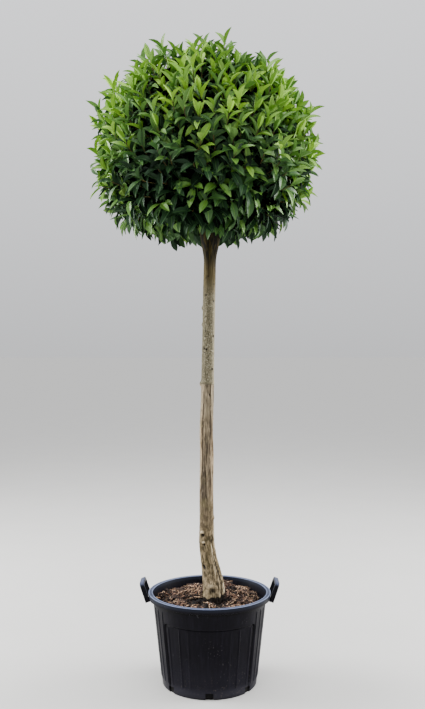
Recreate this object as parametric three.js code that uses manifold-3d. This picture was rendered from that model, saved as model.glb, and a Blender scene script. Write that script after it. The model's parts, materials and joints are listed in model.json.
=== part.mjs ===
// Potted standard tree with a globe crown: a two-handled nursery pot, the soil that
// fills it, a clear stem with a flared foot and a swollen head, eleven boughs and
// eleven masses of foliage that make up one slightly flattened globe.
// Millimetres, +Z up. The origin is the centre of the pot's flat underside, and the
// pot's handles stand to the left (-X) and to the right (+X).

import * as THREE from "three";
import { mergeVertices } from "three/addons/utils/BufferGeometryUtils.js";
import Module from "manifold-3d";

// Pot: a tapering tub with a rolled rim, recessed front and back panels and drain notches.
const POT_SEGMENTS = 48;
const POT_HEIGHT = 310;
const POT_FOOT_RADIUS = 161;
const POT_SHOULDER_RADIUS = 193;
const POT_WALL = 6;
const POT_FLOOR = 6;
const RIM_RADIUS = 210;
const RIM_MOUTH_RADIUS = 195;
const RIM_BAND = 18;
const RIM_ROUND = 4;
const PANEL_TOP = 235;
const PANEL_DEPTH = 3;
const PANEL_HALF_ANGLE = THREE.MathUtils.degToRad(54);
const PANEL_CORNER = 12;
const PANEL_RIB_ANGLE = THREE.MathUtils.degToRad(34);
const RIB_WIDTH = 7;
const SIDE_RIBS = 3;
const SIDE_RIB_SPREAD = THREE.MathUtils.degToRad(17);
const SIDE_RIB_TOP = 272;
const RIB_HEIGHT = 1.6;
const RIB_FOOT = 25;
const DRAIN_NOTCHES = 7;
const NOTCH_WIDTH = 26;
const NOTCH_HEIGHT = 21;
const NOTCH_REACH = 24;

// Handles: an upright strap loop on each side that leans outwards from the rim.
const HANDLE_SPAN = 92;
const HANDLE_TOP = 350;
const HANDLE_FOOT = 286;
const HANDLE_STRAP = 11;
const HANDLE_WIDTH = 15;
const HANDLE_CORNER = 14;
const HANDLE_FOOT_RADIUS = 202;
const HANDLE_LEAN = THREE.MathUtils.degToRad(19);

// Soil: bark compost, a little below the rim, flat where the stem stands on it.
const SOIL_SEAT = 284;
const SOIL_SEAT_RADIUS = 58;
const SOIL_MOUND = 9;
const SOIL_ROUGHNESS = 5;
const SOIL_RINGS = [0, SOIL_SEAT_RADIUS, 78, 100, 125, 152];
const SOIL_LONG_WAVE = 21;
const SOIL_SHORT_WAVE = 13;

// Stem: from a flat cut at soil level up to the head that the boughs spring from.
const STEM_FOOT = SOIL_SEAT + 0.3;
const STEM_HEAD_TOP = 1594;
const STEM_RADIUS = 21.2;
const STEM_TAPER = 10.5;
const STEM_TAPER_LENGTH = 290;
const FOOT_SWELL = 7;
const FOOT_SWELL_HEIGHT = 115;
const FOOT_LOBES = 5;
const FOOT_LOBE_DEPTH = 0.07;
const FOOT_SIDE_STEP = 24.5;
const FOOT_STEP_START = 25;
const FOOT_STEP_END = 210;
const STEM_LEAN = 14;
const STEM_LEAN_START = 560;
const STEM_OFFSET = -10.5;
const GRAFT_HEIGHT = 1022;
const GRAFT_SWELL = 1.6;
const GRAFT_LENGTH = 11;
const HEAD_RADIUS = 36;
const HEAD_START = 1440;
const HEAD_WIDEST = 1548;
const HEAD_DOME = 0.8;
const STEM_SIDES = 14;
const FOOT_RINGS = [0, 18, 50, 85, 115, 150, 200, 280, 400, 560];
const GRAFT_RINGS = [-2 * GRAFT_LENGTH, 0, 2 * GRAFT_LENGTH, 220, 360];
const HEAD_RINGS = [1450, 1490, 1520, HEAD_WIDEST, 1570, 1585, STEM_HEAD_TOP];

// Crown: the envelope that the leaf tips reach, widest below its middle.
const CROWN_X = -10.7;
const CROWN_RADIUS = 398;
const CROWN_TOP = 2217;
const CROWN_WIDEST = 1775;
const CROWN_BOTTOM = 1503;
const CROWN_FULLNESS = 2.2;
const CROWN_MIDDLE = new THREE.Vector3(CROWN_X, 0, CROWN_WIDEST);

// Boughs and the hearts of the masses that they lead to: two rings of five and a leader.
// An elbow is where the limb's curve is drawn to, as shares of its way out and up.
const RING_COUNT = 5;
const LOWER_RING = {
  footRadius: 19,
  footZ: 1524,
  heartRadius: 235,
  heartZ: 1686,
  elbowOut: 0.2,
  elbowUp: 0.95,
  turn: 0.8,
  thickness: 12,
};
const UPPER_RING = {
  footRadius: 16,
  footZ: 1560,
  heartRadius: 230,
  heartZ: 1945,
  elbowOut: 0.26,
  elbowUp: 0.6,
  turn: 0.17,
  thickness: 10,
};
const LEADER = {
  footRadius: 0,
  footZ: 1572,
  heartRadius: 8,
  heartZ: 2070,
  elbowOut: 3,
  elbowUp: 0.5,
  turn: 1.3,
  thickness: 10.5,
};
const BOUGH_TIP_SHARE = 0.62;
const STEM_TIP_SHARE = 0.4;
const MASS_ENTRY = 110;
const LIMB_SIDES = 6;
const BOUGH_RINGS = 4;
const MASS_STEM_RINGS = 2;

// Foliage: shoots to evenly spread tips, each with a few larger-than-life leaves.
const SHOOTS = 88;
const UPPER_SHARE = 0.58;
const GOLDEN_ANGLE = Math.PI * (3 - Math.sqrt(5));
const SHOOT_SIDES = 3;
const SHOOT_RADIUS = 6;
const SHOOT_TIP_RADIUS = 4.4;
const SHOOT_END = 0.66;
const SHOOT_GATHER = 0.3;
const SHOOT_SQUARE = 0.7;
const SHOOT_BOW = 8;
const SHOOT_RINGS = 2;
const CORE_OUTSIDE = 0.715;
const CORE_MIDDLE = 0.63;
const CORE_INSIDE = 0.6;
const CORE_ROUGHNESS = 0.03;
const CORE_WAVES = 5;
const CORE_REACH = 1.2;
const CORE_STEP = 0.04;
const CORE_ROOM = 4;
const LEAF_LENGTH = 116;
const LEAF_WIDTH = 50;
const LEAF_THICKNESS = 2.6;
const LEAF_WIDEST = 0.46;
const LEAF_FOLD = 5;
const LEAF_SAG = 7;
const LEAF_ROOT = 1.8;
const LEAF_SWAY = 0.6;
const LEAF_SHORTER = 0.16;
const END_LEAF_TURN = 0.12;
const FIRST_LEAF = 0.2;
const LEAVES_PER_SHOOT = 5;
const LEAVES_REACH = 0.85;
const LEAF_SPREAD = 0.8;
const LEAF_SPREAD_RANGE = 0.4;
const LEAF_TURNS = 9;
const LEAF_SHRINK = 0.035;
const LEAF_LIFT = 0.3;
const LEAF_HANG = -0.8;
const HANGING_LEVEL = -0.5;
const LIFTED_LEVEL = 0.1;
const CELL_CLEARANCE = 0.8;
const ENVELOPE_LIMIT = 1.0005;

// Clearance between neighbouring pieces.
const GAP = 0.3;

const wasm = await Module();
wasm.setup();

// Small helpers

// A repeatable number from 0 to 1 for each seed, so that every run grows the same tree.
function chance(seed) {
  const wave = Math.sin(seed * 12.9898) * 43758.5453;
  return wave - Math.floor(wave);
}

function smoothStep(value, start, end) {
  const share = THREE.MathUtils.clamp((value - start) / (end - start), 0, 1);
  return share * share * (3 - 2 * share);
}

// A closed geometry as a solid that can be joined and cut.
function solidOf(geometry) {
  const bare = geometry.clone();
  bare.deleteAttribute("normal");
  bare.deleteAttribute("uv");
  const merged = mergeVertices(bare, 1e-4);
  return new wasm.Manifold(
    new wasm.Mesh({
      numProp: 3,
      vertProperties: merged.attributes.position.array,
      triVerts: new Uint32Array(merged.index.array),
    }),
  );
}

// A solid back as geometry.
function geometryOf(solid) {
  const mesh = solid.getMesh();
  const geometry = new THREE.BufferGeometry();
  geometry.setAttribute("position", new THREE.BufferAttribute(mesh.vertProperties, 3));
  geometry.setIndex(new THREE.BufferAttribute(mesh.triVerts, 1));
  geometry.computeVertexNormals();
  return geometry;
}

// The outer surface of the largest body: loose scraps are dropped and sealed hollows filled.
function wholeBody(solid) {
  const bodies = solid.decompose();
  bodies.sort((a, b) => b.volume() - a.volume());
  return bodies[0];
}

// A profile of [radius, height] points turned about the vertical axis.
function turned(profile, segments) {
  const points = profile.map(([radius, height]) => new THREE.Vector2(radius, height));
  return new THREE.LatheGeometry(points, segments).rotateX(Math.PI / 2);
}

function named(name, geometry, material) {
  const mesh = new THREE.Mesh(geometry, material);
  mesh.name = name;
  return mesh;
}

// Materials

const plastic = new THREE.MeshStandardMaterial({ color: 0x25262b, roughness: 0.55, metalness: 0 });
const compost = new THREE.MeshStandardMaterial({ color: 0x4a3328, roughness: 1, metalness: 0 });
const bark = new THREE.MeshStandardMaterial({ color: 0x8d8063, roughness: 0.9, metalness: 0 });
const boughBark = new THREE.MeshStandardMaterial({ color: 0x5d5138, roughness: 0.9, metalness: 0 });
const leafGreens = [0x3f6b22, 0x4b7a28, 0x5b8a2e].map(
  (color) => new THREE.MeshStandardMaterial({ color, roughness: 0.5, metalness: 0 }),
);

// Pot

function potWallRadius(height) {
  const share = height / (POT_HEIGHT - RIM_BAND);
  return THREE.MathUtils.lerp(POT_FOOT_RADIUS, POT_SHOULDER_RADIUS, share);
}

// The rim band's outer outline, grown by a margin, from its underside to its top.
function rimOutline(margin) {
  const under = POT_HEIGHT - RIM_BAND;
  return [
    [RIM_RADIUS - RIM_ROUND + margin, under - margin],
    [RIM_RADIUS + margin, under + RIM_ROUND],
    [RIM_RADIUS + margin, POT_HEIGHT - RIM_ROUND],
    [RIM_RADIUS - RIM_ROUND + margin, POT_HEIGHT + margin],
  ];
}

// The recess of one panel: a tapering round-cornered window over the front wall,
// less the cone that stays behind it.
function panelCutter() {
  const halfTop = potWallRadius(PANEL_TOP) * Math.sin(PANEL_HALF_ANGLE);
  const halfFoot = POT_FOOT_RADIUS * Math.sin(PANEL_HALF_ANGLE);
  const below = -1;
  const window = new THREE.Shape();
  window.moveTo(-halfFoot, below);
  window.lineTo(halfFoot, below);
  window.lineTo(halfTop, PANEL_TOP - PANEL_CORNER);
  window.quadraticCurveTo(halfTop, PANEL_TOP, halfTop - PANEL_CORNER, PANEL_TOP);
  window.lineTo(PANEL_CORNER - halfTop, PANEL_TOP);
  window.quadraticCurveTo(-halfTop, PANEL_TOP, -halfTop, PANEL_TOP - PANEL_CORNER);
  const block = new THREE.ExtrudeGeometry(window, {
    depth: RIM_RADIUS,
    bevelEnabled: false,
    curveSegments: 3,
  });
  block.rotateX(Math.PI / 2);
  const behind = turned(
    [
      [0, 2 * below],
      [potWallRadius(2 * below) - PANEL_DEPTH, 2 * below],
      [potWallRadius(POT_HEIGHT) - PANEL_DEPTH, POT_HEIGHT],
      [0, POT_HEIGHT],
    ],
    POT_SEGMENTS,
  );
  return solidOf(block).subtract(solidOf(behind));
}

// A shallow upright rib on the wall at an angle from the front, up to a height.
function wallRib(angle, top, inset) {
  const rib = new THREE.BoxGeometry(RIB_WIDTH, 2 * POT_WALL, top - RIB_FOOT, 1, 1, 1);
  const position = rib.attributes.position;
  for (let i = 0; i < position.count; i += 1) {
    const height = position.getZ(i) + (top + RIB_FOOT) / 2;
    const outwards = position.getY(i) < 0 ? RIB_HEIGHT : -POT_WALL / 2;
    position.setZ(i, height);
    position.setY(i, -(potWallRadius(height) - inset + outwards));
  }
  return solidOf(rib.rotateZ(angle));
}

function makePot() {
  const under = POT_HEIGHT - RIM_BAND;
  const insideFoot = potWallRadius(POT_FLOOR) - POT_WALL;
  const insideTop = potWallRadius(under) - POT_WALL;
  const shell = turned(
    [
      [0, 0],
      [POT_FOOT_RADIUS, 0],
      [POT_SHOULDER_RADIUS, under],
      ...rimOutline(0),
      [RIM_MOUTH_RADIUS + RIM_ROUND, POT_HEIGHT],
      [RIM_MOUTH_RADIUS, POT_HEIGHT - RIM_ROUND],
      [insideTop, under - RIM_ROUND],
      [insideFoot, POT_FLOOR],
      [0, POT_FLOOR],
    ],
    POT_SEGMENTS,
  );
  let pot = solidOf(shell);
  const panel = panelCutter();
  for (const half of [0, 180]) {
    pot = pot.subtract(panel.rotate([0, 0, half]));
    for (const side of [-1, 1]) {
      const angle = THREE.MathUtils.degToRad(half) + side * PANEL_RIB_ANGLE;
      pot = pot.add(wallRib(angle, PANEL_TOP - PANEL_CORNER, PANEL_DEPTH));
    }
  }
  for (const side of [-1, 1]) {
    for (let rib = 0; rib < SIDE_RIBS; rib += 1) {
      const fan = (rib - (SIDE_RIBS - 1) / 2) * SIDE_RIB_SPREAD;
      pot = pot.add(wallRib((side * Math.PI) / 2 + fan, SIDE_RIB_TOP, 0));
    }
  }
  for (let notch = 0; notch < DRAIN_NOTCHES; notch += 1) {
    const cutter = new THREE.BoxGeometry(NOTCH_WIDTH, 2 * NOTCH_REACH, 2 * NOTCH_HEIGHT);
    cutter.translate(0, -POT_FOOT_RADIUS, 0);
    cutter.rotateZ((2 * Math.PI * notch) / DRAIN_NOTCHES);
    pot = pot.subtract(solidOf(cutter));
  }
  return geometryOf(wholeBody(pot));
}

// A handle drawn as an upside-down U, its width along Y, leaned outwards and cut
// clear of the rim that its two feet clasp.
function makeHandle(side) {
  const half = HANDLE_SPAN / 2;
  const inner = half - HANDLE_STRAP;
  const height = (HANDLE_TOP - HANDLE_FOOT) / Math.cos(HANDLE_LEAN);
  const innerHeight = height - HANDLE_STRAP;
  const innerCorner = HANDLE_CORNER / 2;
  const outline = new THREE.Shape();
  outline.moveTo(-half, 0);
  outline.lineTo(-half, height - HANDLE_CORNER);
  outline.quadraticCurveTo(-half, height, HANDLE_CORNER - half, height);
  outline.lineTo(half - HANDLE_CORNER, height);
  outline.quadraticCurveTo(half, height, half, height - HANDLE_CORNER);
  outline.lineTo(half, 0);
  outline.lineTo(inner, 0);
  outline.lineTo(inner, innerHeight - innerCorner);
  outline.quadraticCurveTo(inner, innerHeight, inner - innerCorner, innerHeight);
  outline.lineTo(innerCorner - inner, innerHeight);
  outline.quadraticCurveTo(-inner, innerHeight, -inner, innerHeight - innerCorner);
  outline.lineTo(-inner, 0);
  const strap = new THREE.ExtrudeGeometry(outline, {
    depth: HANDLE_WIDTH,
    bevelEnabled: false,
    curveSegments: 3,
  });
  strap.rotateX(Math.PI / 2);
  strap.rotateZ(Math.PI / 2);
  strap.rotateY(HANDLE_LEAN);
  strap.translate(HANDLE_FOOT_RADIUS, 0, HANDLE_FOOT);
  strap.rotateZ(side < 0 ? Math.PI : 0);
  const seat = turned(
    [
      [0, 0],
      [potWallRadius(0) + GAP, 0],
      [POT_SHOULDER_RADIUS + GAP, POT_HEIGHT - RIM_BAND - GAP],
      ...rimOutline(GAP),
      [0, POT_HEIGHT + GAP],
    ],
    POT_SEGMENTS,
  );
  return geometryOf(wholeBody(solidOf(strap).subtract(solidOf(seat))));
}

// Soil

// The height of the soil over a place: a flat seat under the stem, then low uneven mounds.
function soilHeight(x, y) {
  const fromAxis = Math.hypot(x, y);
  const rise = smoothStep(fromAxis, SOIL_SEAT_RADIUS, 2 * SOIL_SEAT_RADIUS);
  const longWave = Math.sin(x / SOIL_LONG_WAVE + 1) * Math.cos(y / SOIL_LONG_WAVE);
  const shortWave = Math.sin((x + y) / SOIL_SHORT_WAVE);
  const waves = 0.6 * longWave + 0.4 * shortWave;
  return SOIL_SEAT + rise * (SOIL_MOUND + SOIL_ROUGHNESS * waves);
}

function makeSoil() {
  const insideRadius = (height) => potWallRadius(height) - POT_WALL - GAP;
  const foot = POT_FLOOR + GAP;
  const edge = insideRadius(SOIL_SEAT - SOIL_ROUGHNESS);
  const profile = [
    [0, foot],
    [insideRadius(foot), foot],
    [edge, SOIL_SEAT - SOIL_ROUGHNESS],
    ...SOIL_RINGS.toReversed().map((radius) => [radius, SOIL_SEAT]),
  ];
  const geometry = turned(profile, POT_SEGMENTS / 2);
  const position = geometry.attributes.position;
  for (let i = 0; i < position.count; i += 1) {
    if (position.getZ(i) === SOIL_SEAT) {
      position.setZ(i, soilHeight(position.getX(i), position.getY(i)));
    }
  }
  return geometryOf(solidOf(geometry));
}

// Stem

// The middle of the stem at a height: it steps in over the flared foot, then leans back.
function stemMiddle(height) {
  const above = height - STEM_FOOT;
  const step = FOOT_SIDE_STEP * (1 - smoothStep(above, FOOT_STEP_START, FOOT_STEP_END));
  const length = STEM_HEAD_TOP - STEM_FOOT - STEM_LEAN_START;
  const lean = STEM_LEAN * Math.max(0, (above - STEM_LEAN_START) / length);
  return new THREE.Vector3(STEM_OFFSET + step + lean, 0, height);
}

function stemRadius(height) {
  const above = height - STEM_FOOT;
  const taper = STEM_TAPER * Math.exp(-above / STEM_TAPER_LENGTH);
  const foot = FOOT_SWELL * Math.exp(-((above / FOOT_SWELL_HEIGHT) ** 4));
  const graft = GRAFT_SWELL * Math.exp(-(((height - GRAFT_HEIGHT) / GRAFT_LENGTH) ** 2));
  const plain = STEM_RADIUS + taper + foot + graft;
  const swell = smoothStep(height, HEAD_START, HEAD_WIDEST);
  const body = THREE.MathUtils.lerp(plain, HEAD_RADIUS, swell);
  const domeShare = THREE.MathUtils.clamp(
    (height - HEAD_WIDEST) / (STEM_HEAD_TOP - HEAD_WIDEST),
    0,
    1,
  );
  return body * Math.sqrt(1 - HEAD_DOME * domeShare ** 3);
}

// The heights of the stem's rings: close together over the foot and the head.
function stemHeights() {
  const foot = FOOT_RINGS.map((above) => STEM_FOOT + above);
  const graft = GRAFT_RINGS.map((offset) => GRAFT_HEIGHT + offset);
  return [...foot, ...graft, ...HEAD_RINGS];
}

function stemGeometry(margin) {
  const heights = stemHeights();
  const rings = heights.length - 1;
  const geometry = new THREE.CylinderGeometry(1, 1, rings, STEM_SIDES, rings);
  const position = geometry.attributes.position;
  for (let i = 0; i < position.count; i += 1) {
    const ring = Math.round(position.getY(i) + rings / 2);
    const height = heights[ring];
    const angle = Math.atan2(position.getZ(i), position.getX(i));
    const out = Math.hypot(position.getX(i), position.getZ(i));
    const above = height - STEM_FOOT;
    const lobes = FOOT_LOBE_DEPTH * Math.exp(-above / FOOT_SWELL_HEIGHT);
    const round = 1 + lobes * Math.cos(FOOT_LOBES * angle + 0.6);
    const radius = out * (stemRadius(height) * round + margin);
    const middle = stemMiddle(height);
    const lift = ring === rings ? margin : 0;
    position.setXYZ(
      i,
      middle.x + radius * Math.cos(angle),
      middle.y - radius * Math.sin(angle),
      height + lift,
    );
  }
  return geometry;
}

// Limbs

// Each limb is one curve from inside the stem's head to the heart of its mass: the
// bough is the part up to where it enters the mass, and the mass's own stem the rest.
function makeLimb(name, ring, index, count) {
  const angle = ring.turn + (2 * Math.PI * index) / count;
  const outwards = new THREE.Vector3(Math.cos(angle), Math.sin(angle), 0);
  const foot = stemMiddle(ring.footZ).addScaledVector(outwards, ring.footRadius);
  const heart = new THREE.Vector3(CROWN_X, 0, ring.heartZ);
  heart.addScaledVector(outwards, ring.heartRadius);
  const elbow = new THREE.Vector3(
    THREE.MathUtils.lerp(foot.x, heart.x, ring.elbowOut),
    THREE.MathUtils.lerp(foot.y, heart.y, ring.elbowOut),
    THREE.MathUtils.lerp(foot.z, heart.z, ring.elbowUp),
  );
  const curve = new THREE.QuadraticBezierCurve3(foot, elbow, heart);
  const entry = 1 - MASS_ENTRY / curve.getLength();
  return { name, curve, heart, entry, thickness: ring.thickness };
}

function limbRadius(limb, share) {
  if (share <= limb.entry) {
    return limb.thickness * THREE.MathUtils.lerp(1, BOUGH_TIP_SHARE, share / limb.entry);
  }
  const inside = (share - limb.entry) / (1 - limb.entry);
  return limb.thickness * THREE.MathUtils.lerp(BOUGH_TIP_SHARE, STEM_TIP_SHARE, inside);
}

// The square axes of a flat curve at a share of its length: along it, across the
// plane that it bends in, and the third one in that plane.
function curveAxes(curve, share) {
  const { v0, v1, v2 } = curve;
  const across = v1.clone().sub(v0).cross(v2.clone().sub(v1));
  if (across.length() < 1) across.set(1, 0.2, 0).cross(v2.clone().sub(v0));
  across.normalize();
  const along = curve.getTangent(share);
  return { along, across, up: along.clone().cross(across) };
}

// The way out from a curve at an angle round it.
function wayOut(axes, angle) {
  const out = axes.across.clone().multiplyScalar(Math.sin(angle));
  return out.addScaledVector(axes.up, -Math.cos(angle));
}

// A cylinder laid along a stretch of a flat curve, its rings square to the curve.
function bentLimb(curve, start, end, sides, rings, radiusAt) {
  const geometry = new THREE.CylinderGeometry(1, 1, 1, sides, rings);
  const position = geometry.attributes.position;
  for (let i = 0; i < position.count; i += 1) {
    const [x, y, z] = [position.getX(i), position.getY(i), position.getZ(i)];
    const share = THREE.MathUtils.lerp(start, end, y + 0.5);
    const out = wayOut(curveAxes(curve, share), Math.atan2(x, z));
    const point = curve.getPoint(share);
    point.addScaledVector(out, Math.hypot(x, z) * radiusAt(share));
    position.setXYZ(i, point.x, point.y, point.z);
  }
  return geometry;
}

function makeBough(limb, stemCutter) {
  const radiusAt = (share) => limbRadius(limb, share);
  const bough = bentLimb(limb.curve, 0, limb.entry, LIMB_SIDES, BOUGH_RINGS, radiusAt);
  return geometryOf(wholeBody(solidOf(bough).subtract(stemCutter)));
}

// Crown

// A point of the crown's envelope, by compass angle and by height share from -1 to 1.
function envelopePoint(angle, level) {
  const tilt = Math.asin(level);
  const power = 2 / CROWN_FULLNESS;
  const out = CROWN_RADIUS * Math.cos(tilt) ** power;
  const rise = Math.abs(level) ** power;
  const halfHeight = level > 0 ? CROWN_TOP - CROWN_WIDEST : CROWN_WIDEST - CROWN_BOTTOM;
  return new THREE.Vector3(
    CROWN_X + out * Math.cos(angle),
    out * Math.sin(angle),
    CROWN_WIDEST + Math.sign(level) * halfHeight * rise,
  );
}

// How far out a place is, as a share of the envelope, counted from the crown's middle.
function envelopeShare(way) {
  const halfHeight = way.z > 0 ? CROWN_TOP - CROWN_WIDEST : CROWN_WIDEST - CROWN_BOTTOM;
  const out = Math.hypot(way.x, way.y) / CROWN_RADIUS;
  const rise = Math.abs(way.z) / halfHeight;
  return (out ** CROWN_FULLNESS + rise ** CROWN_FULLNESS) ** (1 / CROWN_FULLNESS);
}

function insideEnvelope(point) {
  return envelopeShare(point.clone().sub(CROWN_MIDDLE)) <= ENVELOPE_LIMIT;
}

// Whether a point keeps to the space of one mass: nearer its heart than any other.
function insideCell(point, limb, limbs) {
  return limbs.every((other) => {
    if (other === limb) return true;
    const apart = other.heart.clone().sub(limb.heart);
    const middle = other.heart.clone().add(limb.heart).multiplyScalar(0.5);
    return point.clone().sub(middle).dot(apart.normalize()) < -CELL_CLEARANCE;
  });
}

function nearestLimb(point, limbs) {
  const distances = limbs.map((limb) => limb.heart.distanceTo(point));
  return limbs[distances.indexOf(Math.min(...distances))];
}

// The tips that the shoots grow to, spread evenly over the envelope.
function shootTips() {
  const tips = [];
  for (let i = 0; i < SHOOTS; i += 1) {
    const share = (i + 0.5) / SHOOTS;
    const above = share < UPPER_SHARE;
    const level = above ? 1 - share / UPPER_SHARE : (UPPER_SHARE - share) / (1 - UPPER_SHARE);
    tips.push({ point: envelopePoint(i * GOLDEN_ANGLE, level), level, seed: i });
  }
  return tips;
}

// The way a leaf points: along its shoot, spread to a side, lifted above and hanging below.
function leafDirection(along, side, spread, level) {
  const rising = smoothStep(level, HANGING_LEVEL, LIFTED_LEVEL);
  const lift = THREE.MathUtils.lerp(LEAF_HANG, LEAF_LIFT, rising);
  const direction = along.clone().multiplyScalar(Math.cos(spread));
  direction.addScaledVector(side, Math.sin(spread));
  direction.z += lift;
  return direction.normalize();
}

// The five outer corners of a leaf and its two middle points, in the octahedron's order.
function leafCorners(root, direction, faceHint, size) {
  const across = direction.clone().cross(faceHint).normalize();
  const face = across.clone().cross(direction).normalize();
  const place = (x, y, z) =>
    root.clone().addScaledVector(across, x).addScaledVector(direction, y).addScaledVector(face, z);
  const length = LEAF_LENGTH * size;
  const half = (LEAF_WIDTH * size) / 2;
  const widest = length * LEAF_WIDEST;
  return {
    tip: place(0, length, -LEAF_SAG),
    root: place(0, -LEAF_ROOT, 0),
    right: place(half, widest, LEAF_FOLD),
    left: place(-half, widest, LEAF_FOLD),
    upper: place(0, widest, LEAF_THICKNESS / 2),
    lower: place(0, widest, -LEAF_THICKNESS / 2),
  };
}

// A leaf as an eight-faced solid: each corner of an octahedron moves to its place.
function leafSolid(corners) {
  const geometry = new THREE.OctahedronGeometry(1, 0);
  const position = geometry.attributes.position;
  for (let i = 0; i < position.count; i += 1) {
    const [x, y, z] = [position.getX(i), position.getY(i), position.getZ(i)];
    let corner = z > 0 ? corners.upper : corners.lower;
    if (Math.abs(x) > 0.5) corner = x > 0 ? corners.right : corners.left;
    if (Math.abs(y) > 0.5) corner = y > 0 ? corners.tip : corners.root;
    position.setXYZ(i, corner.x, corner.y, corner.z);
  }
  return solidOf(geometry);
}

function leafFits(corners, limb, limbs) {
  const points = [corners.tip, corners.right, corners.left, corners.upper, corners.lower];
  return points.every((point) => insideEnvelope(point) && insideCell(point, limb, limbs));
}

// One shoot: the curve of a twig that comes out of the mass's core towards its tip.
function makeShoot(limb, tip) {
  const behind = limb.heart.clone().lerp(CROWN_MIDDLE, SHOOT_SQUARE);
  const outwards = tip.point.clone().sub(behind).normalize();
  const lead = leafDirection(outwards, outwards, 0, tip.level);
  const end = tip.point.clone().addScaledVector(lead, -LEAF_LENGTH * SHOOT_END);
  const way = end.clone().lerp(limb.heart, SHOOT_GATHER).sub(CROWN_MIDDLE);
  const start = way.multiplyScalar(CORE_MIDDLE / envelopeShare(way)).add(CROWN_MIDDLE);
  const bend = start.clone().lerp(end, 0.5);
  bend.addScaledVector(start.clone().sub(CROWN_MIDDLE).normalize(), SHOOT_BOW);
  const curve = new THREE.QuadraticBezierCurve3(start, bend, end);
  const radiusAt = (share) => THREE.MathUtils.lerp(SHOOT_RADIUS, SHOOT_TIP_RADIUS, share);
  const solid = solidOf(bentLimb(curve, 0, 1, SHOOT_SIDES, SHOOT_RINGS, radiusAt));
  return { ...tip, outwards, curve, solid };
}

function touchesNone(solid, others) {
  return others.every((other) => solid.intersect(other).isEmpty());
}

// A leaf of a shoot, turned from face to face of its twig until it fits, or nothing.
function growLeaf(shoot, leaf, limb, limbs, others) {
  const share = 1 - (LEAVES_REACH * (leaf + FIRST_LEAF)) / LEAVES_PER_SHOOT;
  const axes = curveAxes(shoot.curve, share);
  const root = shoot.curve.getPoint(share);
  const hint = new THREE.Vector3(0, 0, 0.5).add(shoot.outwards);
  const full = leaf === 0 ? SHOOT_END : 1 - LEAF_SHORTER * chance(shoot.seed * 7 + leaf + 3);
  for (let turn = 0; turn < LEAF_TURNS; turn += 1) {
    const luck = chance(shoot.seed * 5 + leaf * 31 + turn * 17);
    const face = (leaf + turn + shoot.seed + 0.5) / SHOOT_SIDES;
    const side = wayOut(axes, 2 * Math.PI * face + LEAF_SWAY * (luck - 0.5));
    const spread = leaf === 0 ? END_LEAF_TURN * turn : LEAF_SPREAD + LEAF_SPREAD_RANGE * luck;
    const direction = leafDirection(axes.along, side, spread, shoot.level);
    const corners = leafCorners(root, direction, hint, full * (1 - LEAF_SHRINK * turn));
    if (!leafFits(corners, limb, limbs)) continue;
    const solid = leafSolid(corners);
    if (touchesNone(solid, others)) return solid;
  }
  return null;
}

// The core of a mass: a rough cushion of dense growth behind its tips, inside its space
// and bent to the crown's form, that the shoots stand out of. The crown is open behind it.
function coreSolid(limb, limbs, tips) {
  const axis = new THREE.Vector3();
  for (const tip of tips) axis.add(tip.point.clone().sub(CROWN_MIDDLE).normalize());
  axis.normalize();
  const east = new THREE.Vector3(0, 0, 1).cross(axis).normalize();
  const north = axis.clone().cross(east);
  const geometry = new THREE.IcosahedronGeometry(1, 1);
  const position = geometry.attributes.position;
  for (let i = 0; i < position.count; i += 1) {
    const [x, y, z] = [position.getX(i), position.getY(i), position.getZ(i)];
    const aside = east.clone().multiplyScalar(x).addScaledVector(north, y).normalize();
    const wave = Math.sin(CORE_WAVES * x + limb.heart.x) * Math.cos(CORE_WAVES * y + limb.heart.y);
    const share = THREE.MathUtils.lerp(CORE_INSIDE, CORE_OUTSIDE, (z + 1) / 2);
    let point = limb.heart;
    for (let reach = CORE_REACH; reach > 0; reach -= CORE_STEP) {
      const swing = reach * Math.hypot(x, y);
      const way = axis.clone().multiplyScalar(Math.cos(swing));
      way.addScaledVector(aside, Math.sin(swing));
      const size = (share * (1 + CORE_ROUGHNESS * wave)) / envelopeShare(way);
      point = way.multiplyScalar(size).add(CROWN_MIDDLE);
      if (insideCell(point, limb, limbs)) break;
    }
    position.setXYZ(i, point.x, point.y, point.z);
  }
  return solidOf(geometry);
}

// The room that the cores leave round the stem's head and round every bough.
function limbRoom(limbs) {
  const boughs = limbs.map((limb) => {
    const radiusAt = (share) => limbRadius(limb, share) + CORE_ROOM;
    return bentLimb(limb.curve, 0, stemStart(limb), LIMB_SIDES, BOUGH_RINGS, radiusAt);
  });
  return wasm.Manifold.union([stemGeometry(CORE_ROOM), ...boughs].map(solidOf));
}

// The share of a limb's length at which its mass's own stem starts.
function stemStart(limb) {
  return limb.entry + GAP / limb.curve.getLength();
}

function makeFoliage(limb, limbs, tips, room) {
  const own = tips.filter((tip) => nearestLimb(tip.point, limbs) === limb);
  const radiusAt = (share) => limbRadius(limb, share);
  const start = stemStart(limb);
  const stem = bentLimb(limb.curve, start, 1, LIMB_SIDES, MASS_STEM_RINGS, radiusAt);
  const core = coreSolid(limb, limbs, own).subtract(room);
  const shoots = own
    .map((tip) => makeShoot(limb, tip))
    .filter((shoot) => touchesNone(shoot.solid, [room]));
  const leaves = [];
  for (const shoot of shoots) {
    const twigs = shoots.filter((other) => other !== shoot).map((other) => other.solid);
    for (let leaf = 0; leaf < LEAVES_PER_SHOOT; leaf += 1) {
      const grown = growLeaf(shoot, leaf, limb, limbs, [room, ...twigs, ...leaves]);
      if (grown) leaves.push(grown);
    }
  }
  const twigs = shoots.map((shoot) => shoot.solid);
  const parts = [solidOf(stem), core, ...twigs, ...leaves];
  return geometryOf(wholeBody(wasm.Manifold.union(parts)));
}

// Assembly

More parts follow.
